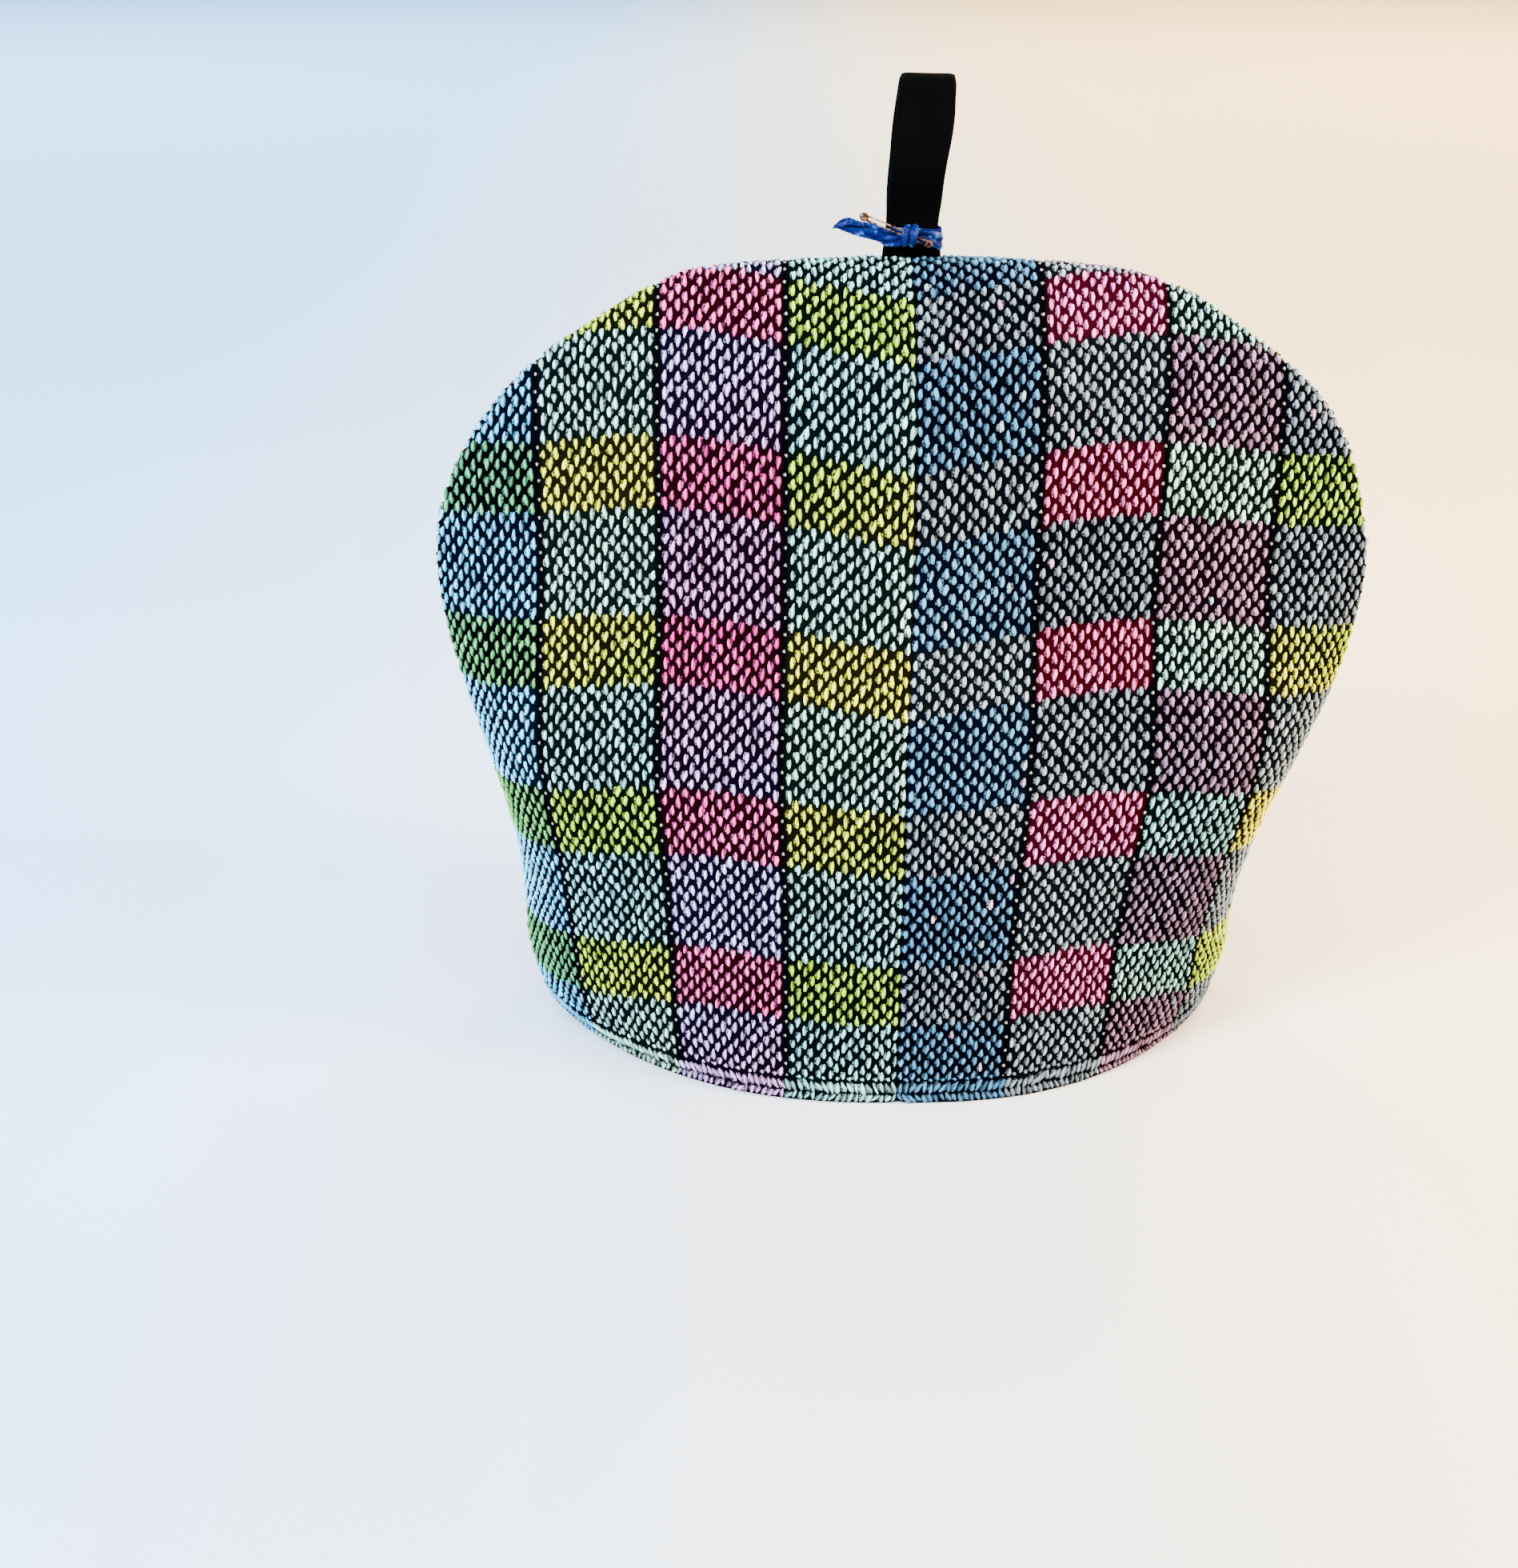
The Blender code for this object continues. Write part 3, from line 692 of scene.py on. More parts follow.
def make_grain(twist, belly, across, along, wide, long):
    """A float of doubled yarn, lopsided and twisted, with its second strand at one side."""
    bm = bmesh.new()
    height = bm.verts.layers.float.new("height")
    for vert in add_half_ball(bm, 8, 5, height, 1.0):
        x, y, z = vert.co
        vert.co.x = x * (1 + belly * y) + twist * math.sin(math.pi * y)
        vert.co.y = math.copysign(abs(y) ** 1.1, y)
        vert.co.z = z * (1 + 0.25 * belly * y)
    strand = add_half_ball(bm, 6, 4, height, STRAND_PAINTED_SHADE)
    bmesh.ops.scale(bm, vec=(wide, long, STRAND_HEIGHT), verts=strand)
    bmesh.ops.translate(bm, vec=(across, along, 0), verts=strand)
    bmesh.ops.triangulate(bm, faces=bm.faces)
    return bm


grains = [make_grain(*row) for row in GRAINS]
print(len(grains), "grains of", len(grains[0].faces), "triangles")

# %% [markdown]
# ## Thousands of copies
# Objects by the thousand would slow Blender down, so the copies of a grain are joined into one
# mesh. Each copy's points are the grain's points, turned and stretched by the copy's own axes.

# %% Copy a small piece many times


def copies(name, pieces, origins, frames, colours, material):
    """Joined copies of small pieces of one kind, taken by turns by chance. The rows of a frame
    are its axes times its half sizes."""
    shapes = np.array([[v.co for v in bm.verts] for bm in pieces])
    height = [bm.verts.layers.float["height"] for bm in pieces]
    rims = np.array([[v[layer] for v in bm.verts] for bm, layer in zip(pieces, height)])
    faces = np.array([[v.index for v in f.verts] for f in pieces[0].faces])
    if np.linalg.det(frames[0]) < 0:  # a mirrored panel turns its faces inside out
        faces = faces[:, ::-1]
    turn = chance.integers(0, len(pieces), len(origins))
    points = (origins[:, None, :] + shapes[turn] @ frames).reshape(-1, 3) * MM
    points[:, 2] = np.maximum(points[:, 2], 0)
    shifts = np.arange(len(origins)) * shapes.shape[1]
    all_faces = (faces[None] + shifts[:, None, None]).reshape(-1, 3)
    mesh = bpy.data.meshes.new(name)
    mesh.from_pydata(points.tolist(), [], all_faces.tolist())
    mesh.update()
    colours = np.repeat(colours, shapes.shape[1], axis=0)
    paint(mesh, "yarn", colours, rims[turn].ravel())
    return finished(name, mesh, material)


# %% [markdown]
# ## Where the floats go
# A float sits on its column at every repeat of the weave, odd columns half a repeat on. Its
# frame comes from the cloth: along the column, across to the next one, and out of the face. In
# the dark lines of the check only a tiny dot of light yarn comes through.

# %% Place the floats on a panel
HALF_LENGTH = 1.8  # of a float, in mm
HALF_WIDTH = (0.31, 0.345)  # of a column's width, for bright and for muted yarn
WIDEST_COLUMN = 2.4  # mm, counted for the floats' width
HEIGHT = 0.85
LEAN = 5.0  # degrees off its column
MUTED_LENGTH = 0.9  # of the other floats' length
SHORTEST = 0.45  # half length of a float that is cut short
DOT = (0.34, 0.55, 0.5)  # half width, half length and height of a dot in a dark line
FLOAT_SINK = GROUND_SINK + 0.12  # mm that its open underside lies under the panel's face
ASIDE = 0.3  # of a column's width, to either side of its middle, where directions are read
FLECK_SHARE = 0.03
ROW_SHIFT = 0.7  # mm under the stitching and the ridge at which the rows start and stop
LEAST_LEFT = 1.1  # mm left at the ridge that still take a short float
# how much the floats differ: mm up and across, shares of their sizes and tone, and degrees
UNEVEN = {"up": 0.17, "across": 0.12, "width": 0.12, "size": 0.1, "tone": 0.2, "slant": 5}


def unit(vectors):
    return vectors / np.maximum(np.linalg.norm(vectors, axis=-1, keepdims=True), 1e-9)


def lines_beside(panel):
    """A line up the left, the middle and the right of each column."""
    middle = (np.arange(COLUMNS) + 0.5) / COLUMNS
    return [Columns(panel, middle + side * ASIDE / COLUMNS) for side in (-1, 0, 1)]


def spots_on(lines, k, run, **more):
    """Spots at distances up column k: their places, and steps across and along the cloth."""
    left, middle, right = lines
    return {
        "at": middle.at(k, run),
        "across": right.at(k, run) - left.at(k, run),
        "along": middle.at(k, run + 0.5) - middle.at(k, run - 0.5),
        "column": np.full(len(run), k),
        **more,
    }


def joined(spots):
    return {key: np.concatenate([spot[key] for spot in spots]) for key in spots[0]}


def place_floats(lines):
    found = []
    for k in range(COLUMNS):
        low, high = HEM_HEIGHT, lines[1].lengths[k]
        rows, run = lines[1].runs_of_rows(k, low - ROW_SHIFT, high - ROW_SHIFT)
        run = run + chance.normal(0, UNEVEN["up"], len(run))
        # the floats at the hem's stitching and at the ridge are cut short there
        run += np.maximum(HALF_LENGTH - (run - low), 0) / 2
        run -= np.maximum(HALF_LENGTH - (high - run), 0) / 2
        left = high - run[-1] - HALF_LENGTH  # a last short float fills what is left at the ridge
        if left > LEAST_LEFT:
            rows, run = np.append(rows, rows[-1] + 1), np.append(run, high - left / 2)
        room = np.minimum(run - low, high - run)
        found.append(spots_on(lines, k, run, room=room, row=rows))
    return joined(found)


def frames_of(panel, found, half_width, half_length, height, slant):
    """Each float's axes times its half sizes, turned by its slant in the face of the cloth, and
    the way out of the cloth."""
    along = unit(found["along"])
    out = unit(np.cross(along, found["across"]))
    across = np.cross(out, along)
    across *= np.sign((across * found["across"]).sum(1))[:, None]
    c, s = np.cos(slant)[:, None], np.sin(slant)[:, None]
    x, y = across * c + along * s, along * c - across * s
    x = x * panel.signs[0] * panel.signs[1]  # the second strand lies on the same side everywhere
    frames = np.stack([x * half_width[:, None], y * half_length[:, None], out * height[:, None]], 1)
    return frames * panel.signs, out


def uneven(size, share, count):
    """Sizes that differ by a share of themselves."""
    return size * (1 + chance.normal(0, share, count))


# %% [markdown]
# ## No two floats alike
# Yarn and weaving are never even, so chance changes each float's width, length, height, slant,
# place and tone a little. The generator starts from a fixed number, so the cosy comes out the
# same each time.

# %% Size and colour the floats


def make_floats(panel, lines):
    found = place_floats(lines)
    count = len(found["row"])
    looks = [check_at(panel, c, r) for c, r in zip(found["column"], found["row"])]
    colours = np.array([look[0] for look in looks])
    in_line = np.array([look[1] for look in looks])
    muted = np.array([look[2] in MUTED for look in looks])
    column_width = np.linalg.norm(found["across"], axis=1) / (2 * ASIDE)
    half_width = np.where(muted, HALF_WIDTH[1], HALF_WIDTH[0])
    half_width = half_width * np.minimum(column_width, WIDEST_COLUMN)
    half_width = uneven(half_width, UNEVEN["width"], count)
    half_length = uneven(HALF_LENGTH, UNEVEN["size"], count)
    half_length = np.where(muted, half_length * MUTED_LENGTH, half_length)
    half_length = np.minimum(half_length, np.maximum(found["room"] - 0.1, SHORTEST))
    height = uneven(HEIGHT, UNEVEN["size"], count)
    sizes = [np.where(in_line, d, s) for d, s in zip(DOT, (half_width, half_length, height))]
    lean = LEAN * panel.signs[0] * panel.signs[1]
    slant = np.radians(chance.normal(lean, UNEVEN["slant"], count))
    frames, out = frames_of(panel, found, *sizes, slant)
    origins = found["at"] - out * FLOAT_SINK
    origins += unit(found["across"]) * chance.normal(0, UNEVEN["across"], (count, 1))
    tone = uneven(1, UNEVEN["tone"], count)[:, None]
    dot = DOT_YARN * (0.55 + 0.45 * chance.random((count, 1)))
    fleck = muted & (chance.random(count) < FLECK_SHARE)
    colours = np.where(fleck[:, None], FLECKS[chance.integers(0, len(FLECKS), count)], colours)
    colours = np.where(in_line[:, None], dot, colours * tone)
    return origins * panel.signs, frames, np.clip(colours, 0, 1)


# %% [markdown]
# ## The turned hem
# The lower edge of the cloth is turned up and stitched, and its yarn shows slantwise there. A
# strip with a weave of its own could show that; two floats on each column that lean opposite
# ways are enough for an edge seven millimetres high.

# %% Lay the slanting floats of the hem
HEM_ROWS = ((2.0, 26), (5.5, -26))  # mm up from the edge, and slant in degrees
HEM_FLOAT = (0.62, 1.8, 0.75)  # half width, half length, height
HEM_UNEVEN = (0.14, 0.12, 0.1)
HEM_UP, HEM_SLANT = 0.25, 11  # how much their places and slants differ
HEM_SHADE_AND_SPREAD = (0.65, 0.18)  # the hem's floats are painted darker as painted shade; how much they differ
HEM_SINK = GROUND_SINK + 0.1


def make_hem_floats(panel, lines):
    """Two slanting floats on each column of the turned hem."""
    found = []
    for k in range(COLUMNS):
        for up, slant in HEM_ROWS:
            run = np.array([up + chance.normal(0, HEM_UP)])
            turned = np.array([slant + chance.normal(0, HEM_SLANT)])
            found.append(spots_on(lines, k, run, slant=turned))
    found = joined(found)
    count = len(found["slant"])
    sizes = [uneven(size, share, count) for size, share in zip(HEM_FLOAT, HEM_UNEVEN)]
    frames, out = frames_of(panel, found, *sizes, np.radians(found["slant"]))
    origins = found["at"] - out * HEM_SINK
    colours = np.array([check_at(panel, c, 1.0)[0] for c in found["column"]])
    # painted shade: the hem's floats are painted darker, with a random spread
    tone = HEM_SHADE_AND_SPREAD[0] + chance.normal(0, HEM_SHADE_AND_SPREAD[1], (count, 1))
    return origins * panel.signs, frames, np.clip(colours * tone, 0, 1)


# %% [markdown]
# ## Yarn and cloth together
# The floats of a panel are joined into one piece. The area of each panel's cloth is measured on the
# modelled face.


def make_yarn(panel):
    lines = lines_beside(panel)
    parts = [make_floats(panel, lines), make_hem_floats(panel, lines)]
    origins, frames, colours = (np.concatenate([p[k] for p in parts]) for k in range(3))
    piece = copies("yarn_" + panel.name, grains, origins, frames, colours, float_wool)
    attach(piece, "root")
    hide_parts("gore_" + panel.name)
    print(piece.name, len(origins), "floats,", len(piece.data.polygons), "triangles")
    return piece


yarns = {panel.name: make_yarn(panel) for panel in panels}
for bm in grains:
    bm.free()

# %% [markdown]
# ## The hanging loop
# Matt black cotton tape, doubled into a tall eye, with both ends in the crown seam. It could be a
# curve with a flat profile; a sheet is used so that its woven ribs can follow it. The line of the
# tape is the solids': up the front strand, round the fold and down the back strand.

# %% The tape's line
TAPE_THICK = 1.2
TAPE_FOOT = 227.5
TAPE_TOP = 281.0
TAPE_ROWS = (  # height, how far its middle stands to the right, width (mm)
    (227.5, -0.3, 15.6),
    (235.0, -0.25, 15.6),
    (237.5, -0.3, 15.0),
    (240.5, -0.35, 13.9),
    (244.0, -0.35, 13.8),
    (249.0, -0.1, 14.2),
    (255.0, 0.25, 14.2),
    (260.0, 0.7, 14.3),
    (265.0, 1.2, 14.8),
    (271.0, 1.75, 15.1),
    (276.0, 2.05, 14.7),
    (281.0, 2.35, 14.2),
)
EYE_HALF = 5.6  # half the gap between the strands at the eye's widest
EYE_BEND = 3.6  # radius of the fold at the top
EYE_OPENS = (245, 15)  # height at which the strands begin to part, and over how many mm
EYE_SHUTS = (262, 16)  # and at which they begin to close again
STRAND_HALF_GAP = 0.05
TAPE_TURN = 3  # degrees that the top leans over
TAPE_FLAT = 16  # mm of tape at each end that lie flat
SELVEDGE = 0.45  # share of its thickness that the tape loses towards its edges


def tape_line():
    foot = TAPE_THICK / 2 + STRAND_HALF_GAP
    rise = TAPE_TOP - TAPE_THICK / 2 - EYE_BEND - TAPE_FOOT
    z = TAPE_FOOT + rise * np.linspace(0, 1, 40)
    parted, shut = (smoothstep((z - start) / over) for start, over in (EYE_OPENS, EYE_SHUTS))
    y = foot + (EYE_HALF - foot) * parted - (EYE_HALF - EYE_BEND) * shut
    front = np.stack([-y, z], 1)
    turns = np.radians(np.arange(10, 171, 10))
    arc = np.stack([-EYE_BEND * np.cos(turns), TAPE_FOOT + rise + EYE_BEND * np.sin(turns)], 1)
    back = np.stack([y, z], 1)[::-1]
    return np.concatenate([front, arc, back])


def tape_at(z):
    """The tape's middle and its width at heights z."""
    rows = smooth_curve(TAPE_ROWS, 6, free_end=True)
    return np.interp(z, rows[:, 0], rows[:, 1]), np.interp(z, rows[:, 0], rows[:, 2])


def make_tape(material):
    line = tape_line()
    y, z = line[:, 0], line[:, 1]
    run = run_along(line)
    s = np.linspace(-0.5, 0.5, 15)[:, None]
    middle_x, width = tape_at(z)
    width -= 0.9 * smoothstep((z - 278.5) / 2.6)
    wave = 0.22 * np.sin(run / 7.5) + 0.14 * np.sin(run / 3.1 + 1.0)
    turn = np.radians(TAPE_TURN * (z - TAPE_FOOT) / (TAPE_TOP - TAPE_FOOT))
    # the tape is flat at its foot and waves a little above it
    loose = smoothstep((run - TAPE_FLAT) / 8) * smoothstep((run[-1] - TAPE_FLAT - run) / 8)
    x = middle_x + wave * 0.4 * loose + s * width * np.cos(turn)
    y = y + 0.12 * np.sin(run / 5 + 9 * s) * loose
    z = z - 0.4 * s * width * np.sin(turn)
    middle = np.stack([x, y + 0 * s, z + 0 * s], -1)
    normals = normals_of(middle)
    edge = 1 - SELVEDGE * smoothstep((np.abs(s) - 0.43) / 0.07)
    half = (TAPE_THICK / 2 * edge * np.ones_like(x))[..., None]
    weave = np.stack([s * width, run + 0 * s], -1)
    outer, inner = middle + normals * half, middle - normals * half
    piece = sheet_mesh("tape_loop", outer, inner, weave, material)
    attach(piece, "root")
    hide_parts("hanging_loop")
    print("the tape is", round(float(run[-1]), 1), "mm long")


# %% [markdown]
# ## Cotton tape as a finish
# Grosgrain and herringbone tapes show ribs a millimetre apart or less. The ribs run across,
# so a wave along the tape's own UV map makes them, with fine noise for the lint.

# %% Make the tape


def tape_finish():
    finish = Finish("cotton_tape", {"Specular IOR Level": 0.01})
    uv = finish.node("ShaderNodeUVMap", {"uv_map": "weave"}).outputs[0]
    parts = finish.node("ShaderNodeSeparateXYZ", None, {0: uv})
    rib = finish.value(parts, 1).wave(9.5)
    cross = finish.value(parts, 0).wave(7.0)
    lint = finish.noise(1800.0, 3.0)
    weave = 0.5 + 0.3 * rib + 0.2 * rib * cross
    threads = weave * 0.6 + lint * 0.4
    colour = finish.mix(threads, (0.0001, 0.0001, 0.0001), (0.0009, 0.0009, 0.001))
    return finish.surface(colour, 0.74 + 0.2 * lint, (weave, 0.5, 0.0002))


make_tape(tape_finish())

# %% [markdown]
# ## The ribbon
# A narrow satin ribbon goes round the foot of the loop, is knotted in front and leaves one end
# free to the left. Satin is stiff and shiny, so it crumples into a few crisp folds. A tied knot
# is hard to model and mostly hidden, so each pass of the ribbon that shows is a strip with its
# own line, width and pleats, and together they read as a knot.

# %% Strips of ribbon
RIBBON_THICK = 0.35
# x, y, z of the middle line, width (mm), the width's slant to the front and its turn from
# upright (0) to level (1), depth of the pleats (mm)
RIBBON_PASSES = {
    "free_end": (
        (-4.6, -3.2, 240.5, 3.2, 0.1, 0.0, 0.35),
        (-7.6, -3.6, 240.8, 3.5, 0.2, 0.0, 0.45),
        (-9.8, -3.7, 241.5, 3.8, 0.3, 0.0, 0.45),
        (-12.4, -3.6, 242.3, 3.9, 0.3, 0.0, 0.4),
        (-14.8, -3.3, 242.8, 3.6, 0.3, 0.0, 0.35),
        (-16.8, -3.0, 243.3, 3.3, 0.2, 0.0, 0.3),
        (-18.8, -2.6, 243.4, 2.5, 0.1, 0.0, 0.2),
        (-20.4, -2.3, 243.2, 1.3, 0.0, 0.0, 0.1),
        (-21.5, -2.0, 242.6, 0.3, 0.0, 0.0, 0.0),
    ),
    "end_fold": (
        (-13.4, -4.2, 243.8, 0.8, 1.0, 0.0, 0.05),
        (-15.4, -4.3, 244.4, 1.6, 1.1, 0.0, 0.2),
        (-17.4, -3.8, 244.6, 2.1, 0.9, 0.0, 0.3),
        (-19.2, -3.1, 244.0, 1.8, 0.7, 0.0, 0.25),
        (-20.6, -2.5, 243.3, 0.7, 0.4, 0.0, 0.1),
    ),
    "left_fold": (
        (-1.8, -3.4, 240.6, 3.2, 0.2, 0.0, 0.4),
        (-3.4, -5.0, 240.6, 3.6, 0.3, 0.0, 0.7),
        (-5.4, -5.3, 240.5, 3.9, 0.2, 0.0, 0.8),
        (-7.3, -4.3, 240.6, 3.8, 0.0, 0.0, 0.7),
        (-8.2, -3.0, 240.7, 3.6, 0.0, 0.0, 0.5),
        (-8.0, -1.8, 240.8, 3.4, 0.0, 0.0, 0.3),
    ),
    "over": (
        (-1.0, -2.6, 243.2, 3.2, 0.0, 1.0, 0.2),
        (-1.1, -5.4, 243.9, 3.8, 0.0, 1.0, 0.35),
        (-1.3, -7.6, 243.4, 4.2, 0.0, 1.0, 0.45),
        (-1.5, -8.2, 241.7, 4.2, 0.0, 0.95, 0.5),
        (-1.5, -7.6, 240.0, 4.0, 0.0, 0.95, 0.45),
        (-1.4, -5.6, 238.9, 3.6, 0.0, 1.0, 0.35),
        (-1.2, -2.8, 238.7, 3.0, 0.0, 1.0, 0.2),
    ),
    "right_lobe": (
        (-0.6, -4.0, 240.6, 2.4, 0.1, 0.0, 0.3),
        (1.4, -5.2, 241.2, 2.6, 0.3, 0.1, 0.5),
        (3.4, -5.3, 241.2, 3.0, 0.3, 0.1, 0.5),
        (5.4, -4.6, 240.3, 3.8, 0.1, 0.0, 0.4),
        (6.9, -3.5, 239.5, 4.2, 0.0, 0.0, 0.3),
        (7.6, -2.2, 239.3, 4.0, 0.0, 0.0, 0.15),
    ),
}
RIBBON_MIDDLE = 240.7
RIBBON_WIDTH = 3.6
RIBBON_CLEAR = 0.3  # mm between the tape and the ribbon
PLEATS = (2.0, 3.3)  # waves across the ribbon, of its pleats and of the creases over them
CREASES = 0.45  # of the pleats' depth


def strip_points(rows):
    """A strip's middle face and its place in the weave, from a table of its line."""
    line = smooth_curve(rows, 10, free_end=True)
    middle, width, depth = line[:, :3], line[:, 3], line[:, 6]
    s = np.linspace(-0.5, 0.5, 13)[:, None]
    run = run_along(middle)
    ahead = unit(np.gradient(middle, axis=0))
    wide = np.stack([line[:, 5], line[:, 4], 1 - line[:, 5]], -1)
    wide = unit(wide - ahead * (wide * ahead).sum(1, keepdims=True))
    out = unit(np.cross(wide, ahead))
    pleat = depth * np.sin(2 * math.pi * PLEATS[0] * s + run / 4.5)
    pleat += CREASES * depth * np.sin(2 * math.pi * PLEATS[1] * s - run / 1.7 + 1.3)
    points = middle + wide * (s * width)[..., None] + out * pleat[..., None]
    return points, np.stack([s * width, run + 0 * s], -1)


def band_points():
    """The pass round the tape's foot: flat along the tape's faces, turned tightly at its edges."""
    clear = RIBBON_CLEAR + RIBBON_THICK / 2
    middle_x, width = tape_at(RIBBON_MIDDLE - RIBBON_WIDTH / 2)
    half_x, half_y = width / 2, TAPE_THICK + STRAND_HALF_GAP
    turn = np.radians(np.repeat((0, 90, 180, 270), 7) + np.tile(np.linspace(0, 90, 7), 4))
    c, s = np.cos(turn), np.sin(turn)
    corner = (np.arange(28) // 7)[:, None] == np.arange(4)
    at_x = corner @ np.array([half_x, -half_x, -half_x, half_x]) + clear * c
    at_y = corner @ np.array([half_y, half_y, -half_y, -half_y]) + clear * s
    ring = np.stack([at_x, at_y], 1)
    ring = np.concatenate([ring, ring[:1]])
    gone = run_along(ring)
    run = np.union1d(gone, np.linspace(0, gone[-1], 61))  # every corner point and even ones
    x, y = (np.interp(run, gone, ring[:, k]) for k in (0, 1))
    side = np.linspace(-0.5, 0.5, 9)[:, None]
    ruffle = 0.12 * np.sin(run * 1.4 + 5 * side) * (np.abs(x) < half_x - 1)
    z = RIBBON_MIDDLE + 0.2 * np.sin(run / 3) + side * RIBBON_WIDTH
    points = np.stack([middle_x + x + 0 * side, y + ruffle * np.sign(y), z], -1)
    return points, np.stack([side * RIBBON_WIDTH + 0 * run, run + 0 * side], -1)


# %% [markdown]
# ## Satin
# Satin's long floats all lie one way, so it shines along them: a deep blue with a low roughness and
# fine lengthwise streaks. Where the ribbon is crushed it crinkles and only the crests are light.
# More folds in the mesh could do that; noise in the bump crinkles it at this size with less, and
# the same noise paints the crests a lighter blue as a painted highlight.

# %% Make the ribbon


def satin_finish():
    finish = Finish("blue_satin_ribbon", {"Specular IOR Level": 0.08})
    uv = finish.node("ShaderNodeUVMap", {"uv_map": "weave"}).outputs[0]
    inputs = {0: uv, 1: (7.0, 0.5, 1.0)}  # streaks are fine across and long
    stretched = finish.node("ShaderNodeVectorMath", {"operation": "MULTIPLY"}, inputs)
    streak = finish.noise(1.0, 3.0, stretched.outputs[0])
    crinkle = finish.noise(430.0, 2.0)
    # painted highlight: the crests of the crinkles are painted a lighter blue
    painted_crest_highlight = finish.ramp(crinkle + 0.3 * streak, 0.7, 0.92)
    colour = finish.mix(painted_crest_highlight, (0.0, 0.003, 0.06), (0.02, 0.12, 0.46))
    relief = (crinkle + 0.15 * streak, 0.8, 0.0009)
    return finish.surface(colour, 0.25 + 0.25 * streak, relief)


def make_ribbon(material):
    made, cloth = [], 0.0
    shapes = {name: strip_points(rows) for name, rows in RIBBON_PASSES.items()}
    shapes["band"] = band_points()
    for name, (points, weave) in shapes.items():
        normals = normals_of(points)
        half = normals * RIBBON_THICK / 2
        made.append(sheet_mesh("ribbon_" + name, points + half, points - half, weave, material))
        cloth += area_of(points)
    with bpy.context.temp_override(
        active_object=made[0], object=made[0], selected_editable_objects=made, selected_objects=made
    ):
        bpy.ops.object.join()
    piece = made[0]
    piece.name = "ribbon_knot"
    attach(piece, "root")
    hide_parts("ribbon_tie")


make_ribbon(satin_finish())

# %% [markdown]
# ## The safety pin
# A small brass pin holds the knot. Its wire is a curve with a round profile: two arms and a coil
# of a turn and a half. The cap that takes the point is a sphere, flattened and pinched.

# %% Bend the wire and close the cap
PIN_WIRE = 0.55
PIN_ARM = 18.2  # length of the straight arms
PIN_SPREAD = 0.62  # half the distance between them
PIN_TURNS = 1.5
PIN_PITCH = PIN_WIRE + 0.12  # mm from one turn of the coil to the next
PIN_MIDDLE = (-4.6, -6.8, 242.8)
PIN_SLANT = 22.0  # degrees, left end up
PIN_CAP = (1.25, 0.9, 1.1)  # half sizes


def bend_wire():
    """The level wire as a mesh: an arm, the coil at the right and the other arm."""
    depth = PIN_PITCH * PIN_TURNS
    points = [(-PIN_ARM / 2, -depth / 2, PIN_SPREAD)]
    for t in np.linspace(0, 1, 49):
        turn = math.pi / 2 - 2 * math.pi * PIN_TURNS * t
        x = PIN_ARM / 2 + PIN_SPREAD * math.cos(turn)
        points.append((x, depth * (t - 0.5), PIN_SPREAD * math.sin(turn)))
    points.append((-PIN_ARM / 2, depth / 2, -PIN_SPREAD))
    curve = bpy.data.curves.new("pin_line", "CURVE")
    curve.dimensions = "3D"
    curve.bevel_depth = PIN_WIRE / 2 * MM
    curve.bevel_resolution = 4
    curve.use_fill_caps = True
    spline = curve.splines.new("POLY")
    spline.points.add(len(points) - 1)
    for point, co in zip(spline.points, points):
        point.co = (*(c * MM for c in co), 1.0)
    wire = bpy.data.objects.new("pin_line", curve)
    bpy.context.scene.collection.objects.link(wire)
    mesh = bpy.data.meshes.new_from_object(wire)
    bpy.data.objects.remove(wire, do_unlink=True)
    return mesh


def add_cap(bm):
    """The cap over the arms' left ends, its sheet metal pinched between the arms."""
    cap = bmesh.ops.create_uvsphere(bm, u_segments=28, v_segments=18, radius=1.0)["verts"]
    for vert in cap:
        vert.co.z *= 1 - 0.16 * math.exp(-((vert.co.z / 0.35) ** 2))
        vert.co.y *= 1 - 0.22 * math.exp(-((vert.co.z / 0.3) ** 2)) * max(vert.co.x + 0.4, 0)
    bmesh.ops.scale(bm, vec=[half * MM for half in PIN_CAP], verts=cap)
    bmesh.ops.translate(bm, vec=((-PIN_ARM / 2 - 0.5) * MM, 0, 0), verts=cap)


def make_pin(material):
    mesh = bend_wire()
    bm = bmesh.new()
    bm.from_mesh(mesh)
    bmesh.ops.remove_doubles(bm, verts=bm.verts, dist=1e-6)
    add_cap(bm)
    bmesh.ops.recalc_face_normals(bm, faces=bm.faces)
    place = Matrix.Translation(Vector(PIN_MIDDLE) * MM)
    place = place @ Matrix.Rotation(math.radians(PIN_SLANT), 4, "Y")
    bmesh.ops.transform(bm, matrix=place, verts=bm.verts)
    bm.to_mesh(mesh)
    bm.free()
    mesh.materials.clear()
    piece = finished("brass_pin", mesh, material)
    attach(piece, "root")
    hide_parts("safety_pin")
    print("pin:", len(mesh.polygons), "faces")


# %% [markdown]
# ## Old brass
# A new pin would be one bright metal. This one has dulled, brown in patches and brassy where it
# is rubbed. One noise chooses between the two, and a finer one scuffs the shine.

# %% Colour the brass


def brass_finish():
    finish = Finish("brass_wire", {"Metallic": 1.0})
    tarnish = finish.noise(900.0, 3.0)
    scuff = finish.noise(5200.0, 2.0)
    rubbed = finish.ramp(tarnish, 0.35, 0.7)
    colour = finish.mix(rubbed, (0.012, 0.005, 0.003), (0.22, 0.1, 0.06))
    return finish.surface(colour, 0.14 + 0.2 * tarnish + 0.1 * scuff, (scuff, 0.2, 0.00004))


make_pin(brass_finish())
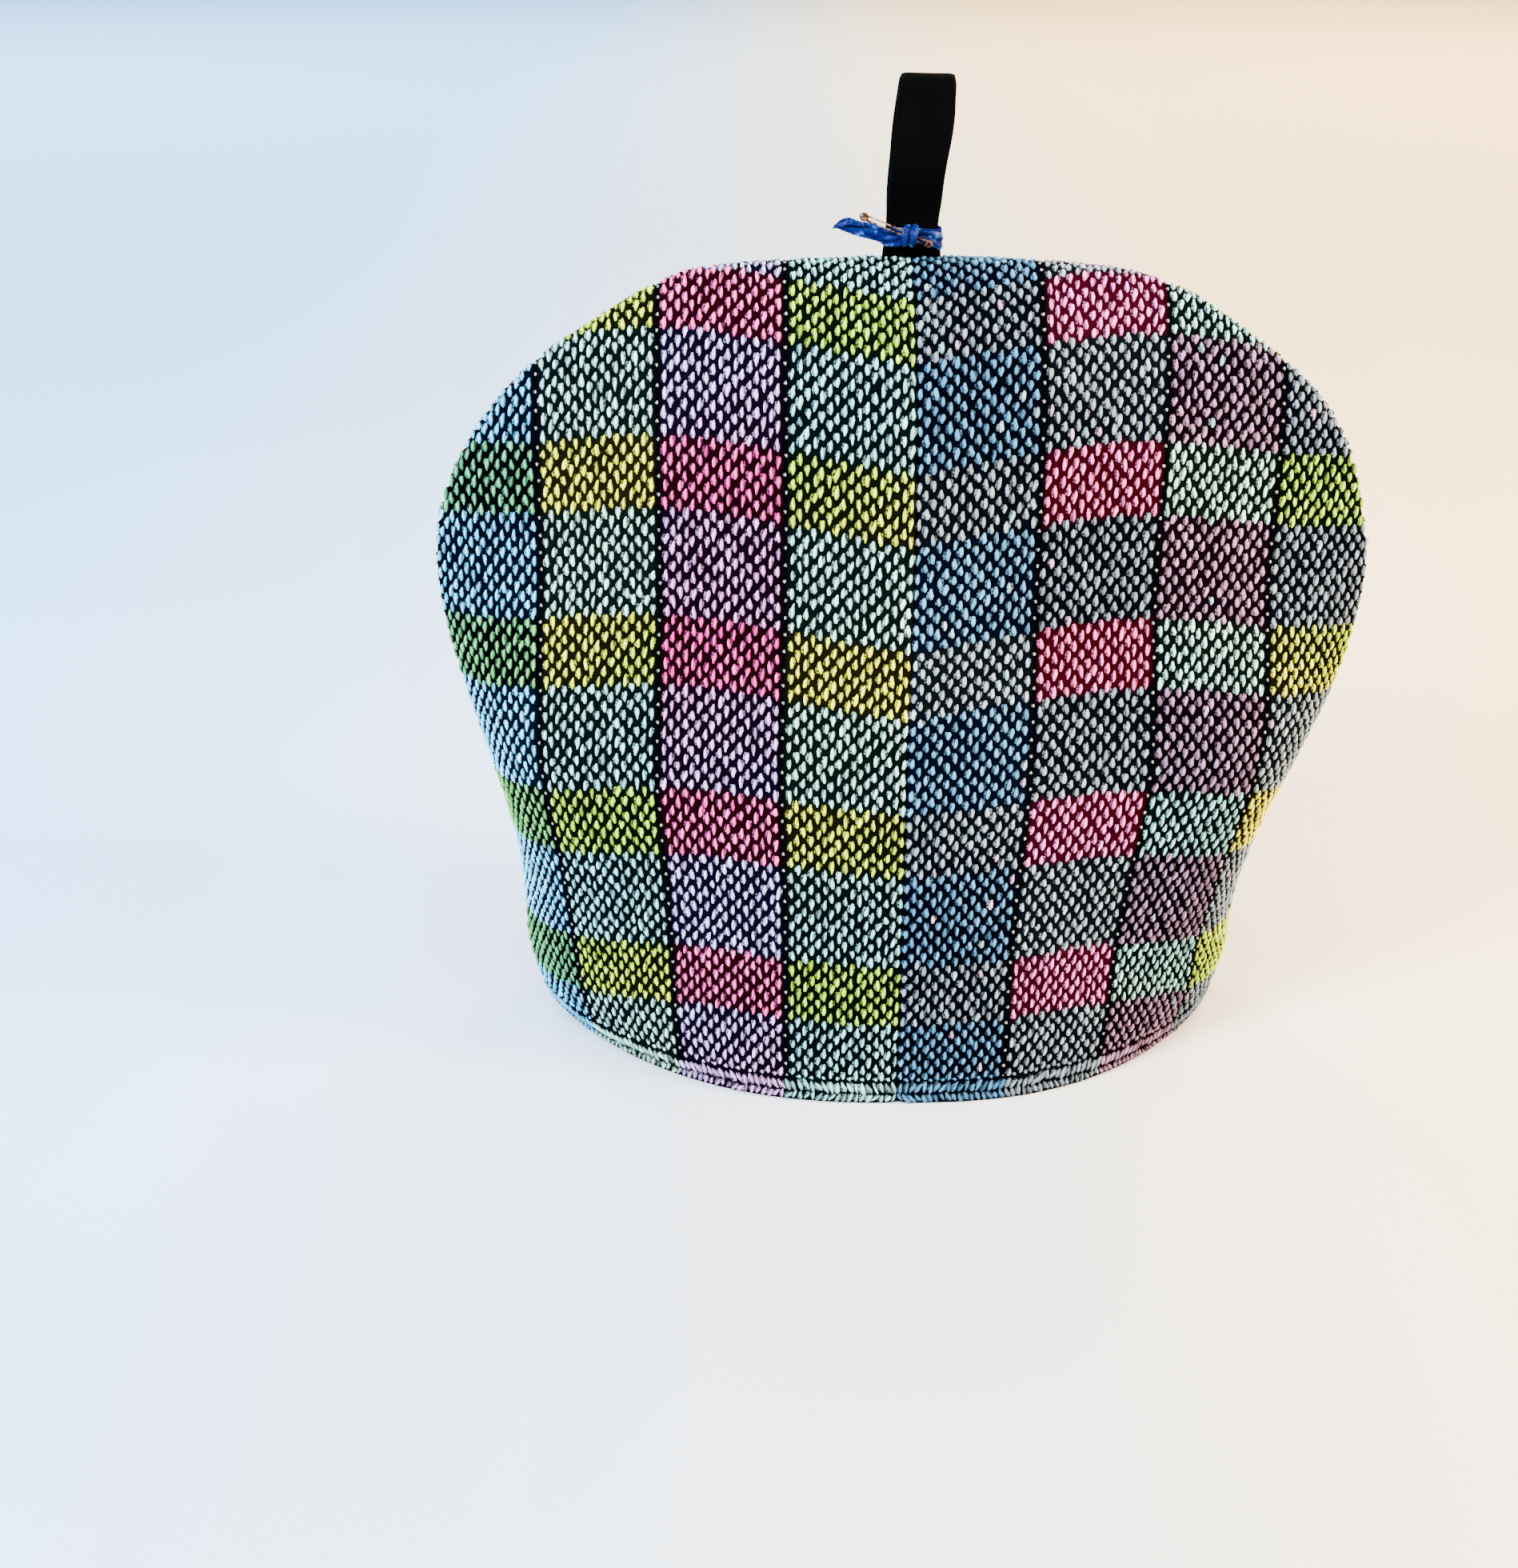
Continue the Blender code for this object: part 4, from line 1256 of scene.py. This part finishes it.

# %% [markdown]
# ## The table
# The cosy stands on a wide pale table, painted bluish to the left and creamy to the right: painted
# light, for the tint that the daylight and the lamp give it. A room could be built round it, but a
# plain ground keeps the eye on the cloth.

# %% The pale table


def make_table():
    bm = bmesh.new()
    bmesh.ops.create_grid(bm, x_segments=8, y_segments=8, size=8.0)
    mesh = bpy.data.meshes.new("pale_table")
    bm.to_mesh(mesh)
    bm.free()
    finish = Finish("pale_cloth", {"Specular IOR Level": 0.1})
    place = finish.node("ShaderNodeTexCoord").outputs["Object"]
    parts = finish.node("ShaderNodeSeparateXYZ", None, {0: place})
    # painted light: the table's colour runs from the daylight's blue on the left to the lamp's
    # cream on the right
    painted_light_tint = finish.ramp(finish.value(parts, 0), -0.5, 0.5)
    colour = finish.mix(painted_light_tint, (0.26, 0.55, 0.95), (0.98, 0.70, 0.34))
    finished("pale_table", mesh, finish.surface(colour, 0.9))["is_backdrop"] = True


make_table()

# %% [markdown]
# ## Light and camera
# Cool daylight comes from the left and a warm lamp from the right. Both stand well out to the
# sides and graze the cloth, so that the floats cast shadows, which a lamp beside the camera would
# hide. A soft light from above fills them in, and two wide ones far behind light the table there.
# The camera looks down by 27.5 degrees, as a person standing at a table does.

# %% Lights and camera
LIGHTS = (  # name, place, target, size (m), power (W), colour
    ("daylight_left", (-1.0, -0.7, 0.85), (0, 0, 0.12), 0.5, 108.0, (0.78, 0.9, 1.0)),
    ("lamp_right", (1.0, -0.25, 0.6), (0, 0, 0.12), 0.35, 66.0, (1.0, 0.82, 0.56)),
    ("soft_top", (0.05, -0.35, 1.4), (0, 0.05, 0.1), 0.6, 22.0, (1.0, 1.0, 1.0)),
    ("far_left", (-1.6, 2.4, 2.2), (-1.1, 2.2, 0), 1.5, 250.0, (0.8, 0.92, 1.0)),
    ("far_right", (1.6, 2.4, 2.2), (1.1, 2.2, 0), 1.5, 270.0, (1.0, 0.86, 0.66)),
)
ROOM_LIGHT = ((0.92, 0.95, 1.0, 1.0), 0.46)  # colour and strength
CAMERA_PLACE = (-0.041, -0.502, 0.337)
CAMERA_DOWN = 27.5  # degrees below level
LENS, SENSOR = 42.24, 36.0

for name, place, target, size, power, colour in LIGHTS:
    light = bpy.data.lights.new(name, "AREA")
    light.shape, light.size, light.energy, light.color = "DISK", size, power, colour
    lamp = bpy.data.objects.new(name, light)
    lamp.location = place
    lamp.visible_camera = False
    lamp.rotation_euler = (Vector(target) - Vector(place)).to_track_quat("-Z", "Y").to_euler()
    bpy.context.scene.collection.objects.link(lamp)

world = bpy.data.worlds.new("soft_room")
world.use_nodes = True
for socket, setting in zip(world.node_tree.nodes["Background"].inputs, ROOM_LIGHT):
    socket.default_value = setting
bpy.context.scene.world = world

camera = bpy.data.cameras.new("camera")
camera.lens, camera.sensor_width = LENS, SENSOR
eye = bpy.data.objects.new("camera", camera)
eye.location = CAMERA_PLACE
eye.rotation_euler = (math.radians(90 - CAMERA_DOWN), 0.0, 0.0)
bpy.context.scene.collection.objects.link(eye)
bpy.context.scene.camera = eye
print(len(LIGHTS), "lights; the camera is", round(eye.location.length, 2), "m from the cosy's foot")

# %% [markdown]
# ## Does it still fit?

# %% Compare the sizes with the solids
visual_box = [list(corner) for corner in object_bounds()]
for axis in range(3):
    low, high = (visual_box[k][axis] - cad_box[k][axis] for k in (0, 1))
    print("xyz"[axis], "low", round(low / MM, 2), "mm, high", round(high / MM, 2), "mm")
